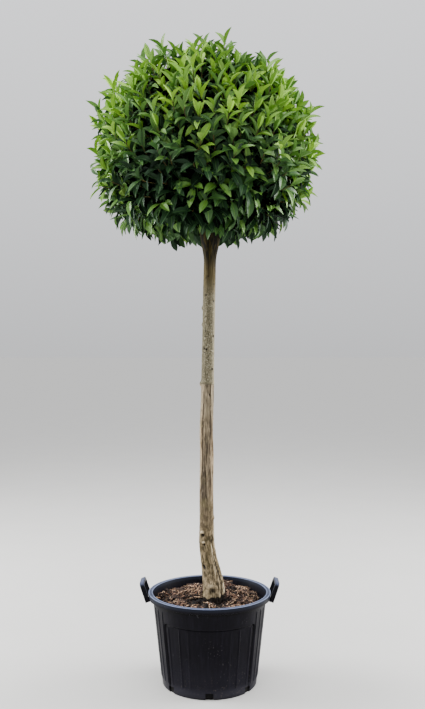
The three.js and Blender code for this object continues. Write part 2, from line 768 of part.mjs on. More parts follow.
const tree = new THREE.Group();
tree.add(named("pot", makePot(), plastic));
tree.add(named("pot_handle_left", makeHandle(-1), plastic));
tree.add(named("pot_handle_right", makeHandle(1), plastic));
tree.add(named("soil", makeSoil(), compost));
tree.add(named("trunk", geometryOf(solidOf(stemGeometry(0))), bark));

const limbs = [];
for (let i = 0; i < RING_COUNT; i += 1) {
  limbs.push(makeLimb(`lower_${i + 1}`, LOWER_RING, i, RING_COUNT));
}
for (let i = 0; i < RING_COUNT; i += 1) {
  limbs.push(makeLimb(`upper_${i + 1}`, UPPER_RING, i, RING_COUNT));
}
limbs.push(makeLimb("top", LEADER, 0, 1));

const stemCutter = solidOf(stemGeometry(GAP));
const tips = shootTips();
const room = limbRoom(limbs);
limbs.forEach((limb, i) => {
  tree.add(named(`bough_${limb.name}`, makeBough(limb, stemCutter), boughBark));
  const green = leafGreens[i % leafGreens.length];
  tree.add(named(`foliage_${limb.name}`, makeFoliage(limb, limbs, tips, room), green));
});

export default tree;
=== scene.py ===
# %% [markdown]
# # A standard tree with a globe crown, in its nursery pot
#
# A nursery grows such a tree on one straight stem, clips its head to a globe and sells it
# in a black plastic tub filled with bark compost. This lesson builds the looks of one:
# pot, compost, furrowed bark, and a crown of more than ten thousand leaves on real twigs.
# The frame holds the exact solids of the plant, so every piece is placed by numbers
# from it, in metres, with +Z up and the origin under the middle of the pot.

from functools import partial
import itertools
import json
import math

import bpy
import numpy as np
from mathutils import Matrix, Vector

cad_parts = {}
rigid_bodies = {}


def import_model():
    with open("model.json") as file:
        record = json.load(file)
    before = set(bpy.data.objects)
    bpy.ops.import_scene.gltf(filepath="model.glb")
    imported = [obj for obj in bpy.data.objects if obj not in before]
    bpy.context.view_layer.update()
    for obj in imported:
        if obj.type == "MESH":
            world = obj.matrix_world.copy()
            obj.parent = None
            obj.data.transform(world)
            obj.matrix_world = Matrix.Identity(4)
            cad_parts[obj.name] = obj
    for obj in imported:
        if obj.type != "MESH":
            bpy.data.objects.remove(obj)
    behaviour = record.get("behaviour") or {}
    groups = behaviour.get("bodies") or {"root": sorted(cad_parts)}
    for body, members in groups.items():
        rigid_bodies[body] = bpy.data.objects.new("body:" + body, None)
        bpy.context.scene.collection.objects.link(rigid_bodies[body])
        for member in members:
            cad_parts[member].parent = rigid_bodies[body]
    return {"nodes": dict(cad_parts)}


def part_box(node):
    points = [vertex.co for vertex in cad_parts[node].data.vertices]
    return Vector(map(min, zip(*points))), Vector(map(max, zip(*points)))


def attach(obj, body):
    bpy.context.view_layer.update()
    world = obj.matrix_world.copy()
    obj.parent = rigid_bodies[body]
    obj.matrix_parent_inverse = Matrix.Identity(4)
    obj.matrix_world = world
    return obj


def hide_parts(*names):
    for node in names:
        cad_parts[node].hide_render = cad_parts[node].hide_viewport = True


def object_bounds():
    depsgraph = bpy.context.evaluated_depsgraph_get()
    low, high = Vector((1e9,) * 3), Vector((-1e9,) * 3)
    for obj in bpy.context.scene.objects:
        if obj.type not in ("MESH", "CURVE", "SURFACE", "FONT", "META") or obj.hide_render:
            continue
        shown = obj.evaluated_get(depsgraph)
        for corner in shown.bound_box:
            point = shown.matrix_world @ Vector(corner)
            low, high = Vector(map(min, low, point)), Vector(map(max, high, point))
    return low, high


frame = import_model()
cad_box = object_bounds()
UP = np.array([0.0, 0.0, 1.0])
print("nodes in the frame:", len(frame["nodes"]))

# %% [markdown]
# Plants look random but this one has to grow the same way each time. So every random
# choice is a number worked out from a seed. `chance` is the rule of thumb that shaders
# use: the digits far behind the point of a large sine. `soft_noise` blends such numbers
# between the corners of a lattice, which gives smooth hills for bark and soil.

# %% Repeatable randomness
SINE_STEPS = np.array([12.9898, 78.233, 37.719])
SINE_SIZE = 43758.5453


def scattered(places):
    """The digits far behind the point of a large sine at each place, as 0 to 1."""
    wave = np.sin(places) * SINE_SIZE
    return wave - np.floor(wave)


def chance(seed):
    """A repeatable number from 0 to 1 for each seed, or for each seed of an array."""
    return scattered(np.asarray(seed, float) * SINE_STEPS[0])


def smooth_step(value, start, end):
    """0 as far as the start, 1 from the end on, and a smooth rise between them."""
    share = np.clip((value - start) / (end - start), 0.0, 1.0)
    return share * share * (3.0 - 2.0 * share)


def mix(low, high, share):
    """The value that lies a share of the way from low to high."""
    return low + (high - low) * share


def soft_noise(points, seed):
    """Smooth hills from 0 to 1 over an array of points, one unit from hill to hill."""
    low = np.floor(points)
    part = points - low
    part = part * part * (3.0 - 2.0 * part)
    total = np.zeros(len(points))
    for corner in itertools.product((0.0, 1.0), repeat=3):
        share = np.prod(np.where(corner, part, 1.0 - part), axis=1)
        total += share * scattered((low + corner) @ SINE_STEPS + seed)
    return total


print("chances of the seeds 1, 2 and 3:", chance([1, 2, 3]).round(3))

# %% [markdown]
# Meshes of many thousand points are made fastest from arrays. A grid of points, with
# rings that close on themselves, is enough for the pot, the soil, the stem and boughs.
# A skin of rings is closed by a fan of triangles at either end, a rod by a flat face.

# %% Meshes from arrays
def columns(*values):
    """Values side by side, such as x, y and z. A single number fills its whole column."""
    return np.stack(np.broadcast_arrays(*values), axis=-1)


def new_object(name, data):
    """An object for a mesh, lamp or camera, linked into the scene."""
    made = bpy.data.objects.new(name, data)
    bpy.context.scene.collection.objects.link(made)
    return made


def mesh_from(name, points, faces=(), edges=()):
    """A smooth-shaded object from an array of points, and the faces or edges between them."""
    mesh = bpy.data.meshes.new(name)
    mesh.from_pydata(np.asarray(points).tolist(), list(edges), [list(face) for face in faces])
    mesh.shade_smooth()
    return new_object(name, mesh)


def ring_faces(rings, sides):
    """The four-sided faces between rings of points, each ring closed on itself."""
    ring, side = np.meshgrid(np.arange(rings - 1), np.arange(sides), indexing="ij")
    here = ring * sides + side
    after = ring * sides + (side + 1) % sides
    return columns(here, after, after + sides, here + sides).reshape(-1, 4).tolist()


print("faces between two rings of three points:", ring_faces(2, 3))


# %% Closed skins and rods
def closed_skin(name, rings, foot, head):
    """A skin over rings of points, closed by a fan to one more point at either end."""
    sides = len(rings[0])
    points = np.concatenate([*rings, [foot], [head]])
    faces = ring_faces(len(rings), sides)
    last = (len(rings) - 1) * sides
    for i in range(sides):
        after = (i + 1) % sides
        faces += [(len(points) - 2, after, i), (len(points) - 1, last + i, last + after)]
    return mesh_from(name, points, faces)


def rod(name, points, sides):
    """A rod over the points of its rings, with a flat face at either end."""
    faces = [face[::-1] for face in ring_faces(len(points) // sides, sides)]
    faces += [range(sides), range(len(points))[-sides:][::-1]]
    return mesh_from(name, points, faces)


# %% Values kept on a mesh
def add_attribute(thing, name, values, kind="FLOAT"):
    """Keeps a value for each point of a mesh, for finishes and node trees to read."""
    attribute = thing.data.attributes.new(name, kind, "POINT")
    field = "vector" if kind == "FLOAT_VECTOR" else "value"
    values = np.asarray(values, np.int32 if kind == "INT" else np.float32)
    attribute.data.foreach_set(field, values.ravel())


def add_skin_attribute(skin, name, rings):
    """Keeps the values of a skin's rings as an attribute, with 0 at its two end points."""
    add_attribute(skin, name, np.append(rings, (0.0, 0.0)))


def triangles_of(thing):
    thing.data.calc_loop_triangles()
    return len(thing.data.loop_triangles)


# %% [markdown]
# # Finishes
#
# A finish starts from a colour that a maker would pick and is broken up by noise
# in the piece's own coordinates: blotches, specks and streaks at the size that the real
# surface has. Colours are given in screen values. One helper adds a node to any kind of
# node tree. A class keeps it with its own tree filled in, by `partial`, and so needs only
# a few lines for each finish.

# %% Colours and nodes
def colour(red, green, blue):
    """Screen values from 0 to 255 as the linear colour that shaders work in."""
    shares = np.array([red, green, blue]) / 255.0
    linear = np.where(shares <= 0.04045, shares / 12.92, ((shares + 0.055) / 1.055) ** 2.4)
    return (*linear.tolist(), 1.0)


def add_node(tree, kind, sockets=(), settings=(), out=0):
    """Adds a node, gives its sockets values or links, and hands back one of its outputs."""
    node = tree.nodes.new(kind)
    for name, value in dict(settings).items():
        setattr(node, name, value)
    for name, value in dict(sockets).items():
        if isinstance(value, bpy.types.NodeSocket):
            tree.links.new(value, node.inputs[name])
        else:
            node.inputs[name].default_value = value
    return node.outputs[out]


print("mid grey in linear light:", round(colour(128, 128, 128)[0], 3))


# %% A class for finishes
class Finish:
    """A material with short calls for the few nodes that the finishes here need."""

    def __init__(self, name, base, roughness, specular=0.5):
        self.material = bpy.data.materials.new(name)
        self.material.use_nodes = True
        self.add = partial(add_node, self.material.node_tree)
        self.link = self.material.node_tree.links.new
        self.shader = self.material.node_tree.nodes["Principled BSDF"].inputs
        self.shader["Base Color"].default_value = colour(*base)
        self.shader["Roughness"].default_value = roughness
        self.shader["Specular IOR Level"].default_value = specular
        self.places = self.add("ShaderNodeTexCoord", out="Object")

    def noise(self, scale, detail=3.0):
        """Noise of one scale, or stretched by a scale of its own along each axis."""
        places = self.places
        if isinstance(scale, tuple):
            places = self.add("ShaderNodeMapping", {"Vector": places, "Scale": scale})
            scale = 1.0
        return self.add("ShaderNodeTexNoise", {"Vector": places, "Scale": scale, "Detail": detail})

    def ramp(self, value, start, end, low=0.0, high=1.0):
        """Turns the stretch of a value from start to end into low to high."""
        span = {"Value": value, "From Min": start, "From Max": end, "To Min": low, "To Max": high}
        return self.add("ShaderNodeMapRange", span, {"interpolation_type": "SMOOTHSTEP"})

    def both(self, first, second):
        """Two masks multiplied."""
        return self.add("ShaderNodeMath", {0: first, 1: second}, {"operation": "MULTIPLY"})

    def blend(self, below, above, mask):
        """One paint over another where a mask says so. A paint is a colour or a socket."""
        paints = [colour(*paint) if isinstance(paint, tuple) else paint for paint in (below, above)]
        sockets = {"Factor": mask, 6: paints[0], 7: paints[1]}
        return self.add("ShaderNodeMix", sockets, {"data_type": "RGBA"}, out=2)

    def coats(self, paint, *layers):
        """More paints over a first one, in turn, each where its own mask says so."""
        for above, mask in layers:
            paint = self.blend(paint, above, mask)
        return paint

    def attribute(self, name):
        return self.add("ShaderNodeAttribute", settings={"attribute_name": name}, out="Fac")

    def height(self):
        return self.add("ShaderNodeSeparateXYZ", {"Vector": self.places}, out="Z")

    def facing_up(self):
        """1 where the surface faces straight up, 0 where it is upright."""
        normal = self.add("ShaderNodeNewGeometry", out="Normal")
        return self.add("ShaderNodeSeparateXYZ", {"Vector": normal}, out="Z")

    def bump(self, value, distance, strength):
        """Roughens the shading by a value, without moving the surface."""
        sockets = {"Height": value, "Distance": distance, "Strength": strength}
        self.link(self.add("ShaderNodeBump", sockets), self.shader["Normal"])

    def painted(self, paint):
        """The material, with its paint laid on."""
        self.link(paint, self.shader["Base Color"])
        return self.material


# %% [markdown]
# # Camera, floor and light
#
# The rim and the foot of the pot show as two ellipses, and their heights and widths fix
# where the photographer stood: level, at chest height, nearly three metres away. The
# light was an overcast sky, so here a wide soft panel hangs over the plant, one stands
# at either side of the crown, and a pale surround fills the shadows.

# %% Camera
CAMERA_PLACE = (0.010, -2.82, 1.124)
CAMERA_LENS = 41.57
SENSOR_WIDTH = 36.0

camera = new_object("camera", bpy.data.cameras.new("camera"))
camera.location = CAMERA_PLACE
camera.rotation_euler = (math.radians(90), 0, 0)
camera.data.sensor_width = SENSOR_WIDTH
camera.data.lens = CAMERA_LENS
bpy.context.scene.camera = camera
print("camera", [round(v, 3) for v in camera.location])

# %% Soft panels
PANELS = {
    # place, the point that it is aimed at, size, power
    "sky_panel": ((0.0, -0.2, 4.8), (0.0, 0.0, 1.4), 3.6, 230.0),
    "left_panel": ((-3.6, 0.7, 2.3), (0.0, 0.0, 1.65), 2.2, 390.0),
    "right_panel": ((3.6, 0.7, 2.3), (0.0, 0.0, 1.65), 2.2, 325.0),
}

for name, (place, aim, size, power) in PANELS.items():
    lamp = new_object(name, bpy.data.lights.new(name, "AREA"))
    lamp.data.size = size
    lamp.data.energy = power
    lamp.location = place
    lamp.rotation_euler = (Vector(aim) - Vector(place)).to_track_quat("-Z", "Y").to_euler()
    print(name, power, "W,", size, "m wide")

# %% The surround
# it is brightest overhead, as a clouded sky is
SKY_AT_HORIZON = 0.866
SKY_AT_TOP = 2.3

world = bpy.data.worlds.new("overcast_sky")
world.use_nodes = True
sky = world.node_tree
way = add_node(sky, "ShaderNodeTexCoord", out="Generated")
upwards = add_node(sky, "ShaderNodeSeparateXYZ", {"Vector": way}, out="Z")
strength = add_node(sky, "ShaderNodeMapRange", {
    "Value": upwards, "From Min": 0.0, "From Max": 1.0,
    "To Min": SKY_AT_HORIZON, "To Max": SKY_AT_TOP})
background = sky.nodes["Background"].inputs
background["Color"].default_value = colour(241, 242, 245)
sky.links.new(strength, background["Strength"])
bpy.context.scene.world = world
print("surround:", SKY_AT_HORIZON, "at the horizon,", SKY_AT_TOP, "overhead")

# %% Floor
FLOOR_REACH = 300.0

corners = [(x * FLOOR_REACH, y * FLOOR_REACH, 0.0) for x, y in ((-1, -1), (1, -1), (1, 1), (-1, 1))]
floor = mesh_from("floor", corners, [range(4)])
finish = Finish("pale_floor", (182, 181, 178), 0.9)
mottled = finish.blend((183, 182, 179), (177, 176, 173), finish.noise(3.0))
floor.data.materials.append(finish.painted(mottled))
print("floor:", 2 * FLOOR_REACH, "m square")

# %% [markdown]
# # The pot
#
# The tub is injection moulded in one piece: a wall that widens upwards, a recessed panel
# with ribs at the front and back, flutes at the sides, a broad rim and seven drain
# notches round the foot. A lathe gives the plain tub. Here each point of the turned
# wall is also moved in or out by a function of its angle and height, so that panels,
# ribs and flutes are one skin with the wall, as they are in the mould.

# %% Sizes of the pot
POT_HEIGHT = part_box("pot")[1].z
RIM_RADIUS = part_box("pot")[1].x
FOOT_RADIUS = 0.161
SHOULDER_RADIUS = 0.193
RIM_BAND = 0.018
LIP = 0.0020
RIM_DIP = 0.0014
MOUTH_RADIUS = 0.195
SHOULDER = POT_HEIGHT - RIM_BAND
WALL = 0.0035
PANEL_TOP = 0.235
PANEL_DEPTH = 0.0075
PANEL_HALF_ANGLE = math.radians(54)
PANEL_CORNER = 0.014
GROOVE_UNDER_EDGE = 0.0035
# heights between which a panel deepens, and its ribs: degrees aside, how far each stands out
PANEL_FADE = (0.008, 0.034)
PANEL_RIBS = ((23, 0.0012), (34, 0.0026), (49, 0.0020))
RIB_HALF_WIDTH = 0.0034
RIB_END = 0.004
RIB_FOOT = 0.028
RIB_TOP = PANEL_TOP - 0.011
# the flutes of one side, in degrees from its middle
FLUTES = (-34, -25.5, -17, -8.5, 0, 8.5, 17, 25.5, 34)
FLUTE_STAND = 0.0020
FLUTE_FOOT = 0.026
FLUTE_TOP = 0.272
NOTCHES = 7
NOTCH_WIDTH = 0.026
NOTCH_HEIGHT = 0.021
NOTCH_REACH = 0.024
POT_SIDES = 540
print("pot:", round(POT_HEIGHT, 3), "m high,", round(2 * RIM_RADIUS, 3), "m across its rim")


# %% Relief of the moulded wall
def wall_radius(height):
    """The plain outside of the tub, without panels, ribs and flutes."""
    return mix(FOOT_RADIUS, SHOULDER_RADIUS, height / SHOULDER)


def turned_from(angle, middle):
    """How far an angle lies from a middle one, at most half a turn either way."""
    return (angle - middle + math.pi) % (2 * math.pi) - math.pi


def upright_rib(sideways, height, foot, top):
    """How much of a rib's rounded section stands at a place, from 0 to 1."""
    across = np.clip(1.0 - (sideways / RIB_HALF_WIDTH) ** 2, 0.0, 1.0) ** 0.5
    risen = smooth_step(height, foot, foot + RIB_END)
    return across * (risen * (1.0 - smooth_step(height, top - RIB_END, top)))


def wall_relief(angle, height):
    """How far the moulded wall stands out at an angle and height, and where shade is painted."""
    radius = wall_radius(height)
    relief = np.zeros_like(angle)
    # painted shade: a black band under the overhang of the rim
    painted_shade = smooth_step(height, SHOULDER - 0.016, SHOULDER - 0.003) * (height < SHOULDER + 0.001)
    for middle in (0.0, math.pi):
        turn = turned_from(angle, middle)
        aside = PANEL_HALF_ANGLE * radius - np.abs(turn) * radius
        below = PANEL_TOP - height
        from_corner = np.hypot(
            np.clip(PANEL_CORNER - aside, 0, None), np.clip(PANEL_CORNER - below, 0, None))
        corner = PANEL_CORNER - from_corner
        inside = smooth_step(np.minimum(corner, np.minimum(aside, below)), -0.0010, 0.0014)
        inside = inside * smooth_step(height, *PANEL_FADE)
        relief -= PANEL_DEPTH * inside * mix(0.5, 1.0, smooth_step(aside, 0.002, 0.050))
        under_edge = inside * (1.0 - smooth_step(np.minimum(below, corner + 0.003), 0.003, 0.008))
        beside_edge = inside * (1.0 - smooth_step(aside, 0.001, 0.004))
        relief -= GROOVE_UNDER_EDGE * under_edge
        # painted shade, black under the panel's top edge and half as dark beside its sides
        painted_shade = np.maximum(painted_shade, np.maximum(under_edge, 0.5 * beside_edge))
        for (degrees, stand), side in itertools.product(PANEL_RIBS, (-1, 1)):
            sideways = (turn - side * math.radians(degrees)) * radius
            relief += stand * upright_rib(sideways, height, RIB_FOOT, RIB_TOP)
    for middle, degrees in itertools.product((-math.pi / 2, math.pi / 2), FLUTES):
        sideways = (turned_from(angle, middle) - math.radians(degrees)) * radius
        relief += FLUTE_STAND * upright_rib(sideways, height, FLUTE_FOOT, FLUTE_TOP)
    return relief, painted_shade


# %% [markdown]
# The profile runs from the middle of the underside, up the outside, over the broad rim
# and down the inside to the middle of the floor. The rim is an upright band with a flat
# top that dips a little between two rounded lips, and the lips are what catches the light,
# with a painted highlight along their tops as well.

# %% The outline of the tub
def arc(middle, radius, start, end, steps):
    """Points on an arc in the profile's plane, by degrees from straight outwards."""
    turns = np.radians(np.linspace(start, end, steps))
    return [(middle[0] + radius * math.cos(t), middle[1] + radius * math.sin(t)) for t in turns]


def pot_profile():
    """The outline of the tub as (radius, height), with more rings where the panel ends."""
    heights = np.concatenate([
        [0.003],
        np.linspace(0.006, RIB_TOP, 78),
        np.linspace(PANEL_TOP - 0.010, PANEL_TOP + 0.004, 15),
        np.linspace(PANEL_TOP + 0.007, SHOULDER, 18),
    ])
    dip = POT_HEIGHT - RIM_DIP
    inner_foot = FOOT_RADIUS - 0.045
    foot = [(0.0, 0.0), (inner_foot, 0.0), (FOOT_RADIUS - 0.0025, 0.0)]
    outside = [(wall_radius(h), h) for h in heights]
    rim = arc((RIM_RADIUS - 0.0015, SHOULDER + 0.0015), 0.0015, -90, 0, 3)
    rim += arc((RIM_RADIUS - LIP, POT_HEIGHT - LIP), LIP, 0, 130, 7)
    rim += [(RIM_RADIUS - 2.4 * LIP, dip), (MOUTH_RADIUS + 2.2 * LIP, dip)]
    rim += arc((MOUTH_RADIUS + LIP, POT_HEIGHT - LIP), LIP, 60, 180, 6)
    inside = [(wall_radius(h) - WALL, h) for h in np.linspace(SHOULDER - 0.004, WALL, 24)]
    return foot + outside + rim + inside + [(inner_foot, WALL), (0.0, WALL)]


profile = pot_profile()
print("points of the outline:", len(profile))

# %% The turned skin
CLOSE = 0.0001
angles = np.linspace(0, 2 * math.pi, POT_SIDES, endpoint=False)
rows, shades, highlight_rows = [], [], []
for radius, height in profile[1:-1]:
    relief, painted_shade = wall_relief(angles, height)
    reach = radius
    if abs(radius - wall_radius(height)) < CLOSE and height > 0.004:
        reach = radius + relief
    elif abs(radius - wall_radius(height) + WALL) < CLOSE:
        reach = radius + np.minimum(relief, 0.0)
    rows.append(columns(reach * np.sin(angles), -reach * np.cos(angles), height))
    # the painted shade goes on the outside of the wall only
    shades.append(painted_shade * (radius > wall_radius(height) - 0.001))
    # painted highlight along the tops of the rim's two lips
    highlight_rows.append(np.full(POT_SIDES, float(height > POT_HEIGHT - 0.0008)))
pot = closed_skin("pot_shell", rows, (0, 0, profile[0][1]), (0, 0, profile[-1][1]))
add_skin_attribute(pot, "painted_shade", shades)
add_skin_attribute(pot, "lip_highlight", highlight_rows)
print("turned pot skin:", triangles_of(pot), "triangles")

# %% [markdown]
# The drain notches are real holes through wall and floor, cut with one boolean from a
# ring of blocks. After the cut the wall keeps its smooth shading and only edges sharper
# than a given angle stay crisp.

# %% Drain notches
BLOCK_SIDES = ((0, 2, 3, 1), (4, 5, 7, 6), (0, 1, 5, 4), (2, 6, 7, 3), (0, 4, 6, 2), (1, 3, 7, 5))


def turned_about_axis(points, angle):
    """Points turned about the upright axis of the pot."""
    c, s = math.cos(angle), math.sin(angle)
    return points @ np.array([[c, s, 0], [-s, c, 0], [0, 0, 1]])


def apply_modifiers(thing):
    """Replaces a mesh by what its modifiers make of it, and takes them off."""
    bpy.context.view_layer.update()
    shaped = thing.evaluated_get(bpy.context.evaluated_depsgraph_get())
    mesh = bpy.data.meshes.new_from_object(shaped)
    thing.modifiers.clear()
    thing.data = mesh


block = np.array([(x * NOTCH_WIDTH / 2, y * NOTCH_REACH - FOOT_RADIUS, z * NOTCH_HEIGHT)
                  for z, y, x in itertools.product((-1, 1), repeat=3)])
blocks, block_faces = [], []
for notch in range(NOTCHES):
    blocks.append(turned_about_axis(block, 2 * math.pi * notch / NOTCHES))
    block_faces += [[corner + 8 * notch for corner in side] for side in BLOCK_SIDES]
cutter = mesh_from("notch_blocks", np.concatenate(blocks), block_faces)
cut = pot.modifiers.new("notches", "BOOLEAN")
cut.operation = "DIFFERENCE"
cut.solver = "EXACT"
cut.object = cutter
apply_modifiers(pot)
bpy.data.objects.remove(cutter)
pot.data.shade_smooth()
pot.data.set_sharp_from_angle(angle=math.radians(38))
print("pot with", NOTCHES, "notches:", triangles_of(pot), "triangles")

# %% [markdown]
# The handles are upright loops of thick strap that lean out from the rim. The strap is
# swept along the loop's outline with a rounded section that has a groove down the outer
# face of its legs, as the moulded ones have to save plastic.

# %% The section and the path of a handle
HANDLE_HALF_SPAN = 0.046
HANDLE_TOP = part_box("pot_handle_right")[1].z
HANDLE_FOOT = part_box("pot_handle_right")[0].z
HANDLE_STRAP = 0.011
HANDLE_WIDTH = 0.015
HANDLE_CORNER = 0.014
HANDLE_FOOT_RADIUS = 0.2025
HANDLE_LEAN = math.radians(19)
GROOVE_HALF_WIDTH = 0.0042
GROOVE_DEPTH = 0.0024


def handle_section(groove_depth):
    """The strap's section: across the strap's width, and outwards from the loop's middle."""
    # half the strap's width and thickness with its corner, then the groove with its bevel
    w, t, r = HANDLE_WIDTH / 2, HANDLE_STRAP / 2, 0.0022
    g, d, s = GROOVE_HALF_WIDTH, groove_depth, min(0.0009, groove_depth)
    one_side = arc((w - r, -t + r), r, -90, 0, 4) + arc((w - r, t - r), r, 0, 90, 4)
    groove = [(g + s, t), (g, t - s), (g - s / 2, t - d)]
    groove += [(-across, stand) for across, stand in reversed(groove)]
    other_side = arc((-w + r, t - r), r, 90, 180, 4) + arc((-w + r, -t + r), r, 180, 270, 4)
    return one_side + groove + other_side


def handle_path():
    """The middle line of the loop as (along Y, up the loop, outward turn in degrees)."""
    inset = HANDLE_STRAP / 2
    half = HANDLE_HALF_SPAN - inset
    length = (HANDLE_TOP - HANDLE_FOOT) / math.cos(HANDLE_LEAN) - inset - 0.0045
    bend = HANDLE_CORNER - inset / 2
    steps = [(half, s, 0.0) for s in np.linspace(0.0, length - bend, 6)]
    for turn in np.linspace(0, 90, 8)[1:]:
        t = math.radians(turn)
        steps.append((half - bend + bend * math.cos(t), length - bend + bend * math.sin(t), turn))
    steps += [(y, length, 90.0) for y in np.linspace(half - bend, 0.0, 5)[1:]]
    mirrored = [(-y, s, 180.0 - turn) for y, s, turn in reversed(steps[:-1])]
    return steps + mirrored


print("steps along a handle:", len(handle_path()))


# %% Handles
def make_handle(name, turn):
    """The strap swept along its loop, leaned out from the rim, and turned round the pot."""
    points = []
    for along, rise, degrees in handle_path():
        out = (math.cos(math.radians(degrees)), math.sin(math.radians(degrees)))
        section = handle_section(mix(GROOVE_DEPTH, 0.0002, out[1] ** 2))
        points += [(across + HANDLE_WIDTH / 2, along + out[0] * stand, rise + out[1] * stand)
                   for across, stand in section]
    x, y, up = np.array(points).T
    c, s = math.cos(HANDLE_LEAN), math.sin(HANDLE_LEAN)
    leaned = columns(x * c + up * s, y, up * c - x * s)
    leaned += (HANDLE_FOOT_RADIUS, 0.0, HANDLE_FOOT + HANDLE_WIDTH * s)
    made = rod(name, turned_about_axis(leaned, turn), len(section))
    made.data.set_sharp_from_angle(angle=math.radians(35))
    return made


handle_left = make_handle("handle_left", math.pi)
handle_right = make_handle("handle_right", 0.0)
print("handle:", triangles_of(handle_left), "triangles")

# %% [markdown]
# Black nursery plastic is never quite black: it is charcoal with a blue cast, matt from
# its fine mould grain, dusty where rain has splashed it, and rubbed in upright streaks
# where pots have been stacked. Whatever faces up, such as the top of the rim and of the
# handles, has bleached and gathered dust, and it gets a painted sheen of the sky too, so
# the finish reads which way the surface faces and pales it there. The lips of the rim
# get a painted highlight, and painted shade stays black under the rim and along the
# panel's edge.

# %% Pot plastic
def plastic_finish(name, band, bleach_and_sheen):
    """Black plastic, with a colour for the rim's band and one for bleach and painted sheen."""
    finish = Finish(name, (13, 13, 18), 0.46, specular=0.08)
    ramp, both, height = finish.ramp, finish.both, finish.height()
    streaks = finish.noise((130, 130, 7), 4.0)
    dust = finish.noise(9.0, 6.0)
    specks = finish.noise(170.0, 2.0)
    scratches = finish.noise((48, 300, 34), 2.0)
    above = ramp(height, SHOULDER + 0.004, SHOULDER + 0.012)
    # bleached and dusty where the rim faces up, with a painted sheen of the sky
    bleached_and_sheen = both(above, ramp(finish.facing_up(), 0.20, 0.85))
    dusty = both(ramp(dust, 0.50, 0.68, 0.0, 0.5), ramp(specks, 0.63, 0.72))
    muddy = both(ramp(height, 0.10, 0.0), ramp(specks, 0.60, 0.74, 0.0, 0.4))
    finish.link(ramp(dust, 0.3, 0.7, 0.36, 0.54), finish.shader["Roughness"])
    finish.bump(finish.noise(900.0, 2.0), 0.0003, 0.5)
    return finish.painted(finish.coats(
        (4, 3, 9),
        ((12, 10, 19), ramp(streaks, 0.40, 0.75)),
        ((25, 24, 32), ramp(height, 0.16, 0.0, 0.0, 0.7)),
        ((40, 39, 45), ramp(height, 0.045, 0.0, 0.0, 0.7)),
        # painted shade, black, under the rim and along the panel's edges
        ((1, 1, 1), finish.attribute("painted_shade")),
        (band, above),
        # bleaching with a painted sky sheen where it faces up
        (bleach_and_sheen, both(bleached_and_sheen, ramp(dust, 0.1, 0.5))),
        # painted highlight, pale blue, along the lips of the rim
        ((132, 143, 174), ramp(finish.attribute("lip_highlight"), 0.4, 1.0, 0.0, 0.5)),
        ((84, 80, 80), dusty),
        ((84, 74, 64), muddy),
        ((78, 78, 84), ramp(scratches, 0.71, 0.76, 0.0, 0.25)),
    ))


# %% Dressing the pot
def dress(piece, node, material=None):
    """Gives a piece a given material, ties it to the root, and hides the node it stands for."""
    if material:
        piece.data.materials.clear()
        piece.data.materials.append(material)
    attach(piece, "root")
    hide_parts(node)


# the last colour is bleaching with a painted sheen of the sky
pot_plastic = plastic_finish("scuffed_black_plastic", (21, 24, 34), (56, 62, 81))
handle_plastic = plastic_finish("handle_black_plastic", (9, 10, 15), (64, 70, 90))
dress(pot, "pot", pot_plastic)
dress(handle_left, "pot_handle_left", handle_plastic)
dress(handle_right, "pot_handle_right", handle_plastic)
print("the pot wears", pot_plastic.name, "and its handles", handle_plastic.name)

# %% [markdown]
# # Geometry Nodes, built in the script
#
# Chips of bark, twigs and leaves repeat by the hundred along rules. Geometry Nodes place
# one small shape many times. A small class writes such a tree with the helper that adds
# a node, runs it once on a piece and keeps the plain mesh that it made.

# %% A class for node trees
class Tree:
    """A tree of Geometry Nodes with named inputs beside its geometry."""

    def __init__(self, name, inputs):
        self.group = bpy.data.node_groups.new(name, "GeometryNodeTree")
        self.add = partial(add_node, self.group)
        new_socket = self.group.interface.new_socket
        new_socket("Geometry", in_out="INPUT", socket_type="NodeSocketGeometry")
        new_socket("Geometry", in_out="OUTPUT", socket_type="NodeSocketGeometry")
        sockets = {label: new_socket(label, in_out="INPUT", socket_type="NodeSocket" + kind)
                   for label, kind in inputs.items()}
        self.identifiers = {label: socket.identifier for label, socket in sockets.items()}
        self.given = self.group.nodes.new("NodeGroupInput").outputs

    def attribute(self, name, kind="FLOAT"):
        return self.add("GeometryNodeInputNamedAttribute", {"Name": name}, {"data_type": kind})

    def close(self, geometry):
        """Ends the tree with a geometry, and hands the tree back."""
        self.group.links.new(geometry, self.group.nodes.new("NodeGroupOutput").inputs[0])
        return self

    def run_on(self, thing, values):
        """Runs the tree on a piece with values for its inputs, and keeps the mesh it makes."""
        modifier = thing.modifiers.new(self.group.name, "NODES")
        modifier.node_group = self.group
        for label, value in values.items():
            modifier[self.identifiers[label]] = value
        apply_modifiers(thing)

# %% [markdown]
# # The compost
#
# The pot is filled to a finger below its rim with composted bark. From above it is dark,
# fibrous and uneven, heaped a little between stem and rim, with a hollow at the stem's
# foot. A plain bed of that form carries it. Its side follows the inside of the moulded
# wall, a few millimetres off, down to the foot. Loose bits are scattered over its
# open surface: flat chips in four colours, crumbs, and thin curled fibres in two.

# %% The form of the compost
SOIL_SEAT = 0.284
SOIL_AT_WALL = 0.272
SOIL_MOUND = 0.016
MOUND_RADIUS = 0.112
MOUND_WIDTH = 0.042
SOIL_SIDES = 220
SOIL_RINGS = 120
SIDE_RINGS = 40
SOIL_FOOT = 0.0008
HOLLOW_PLACE = (0.032, -0.054)
HOLLOW_RADIUS = 0.030
HOLLOW_DEPTH = 0.022
STEM_PLACE = (0.018, -0.012)
STEM_SHADE = 0.050


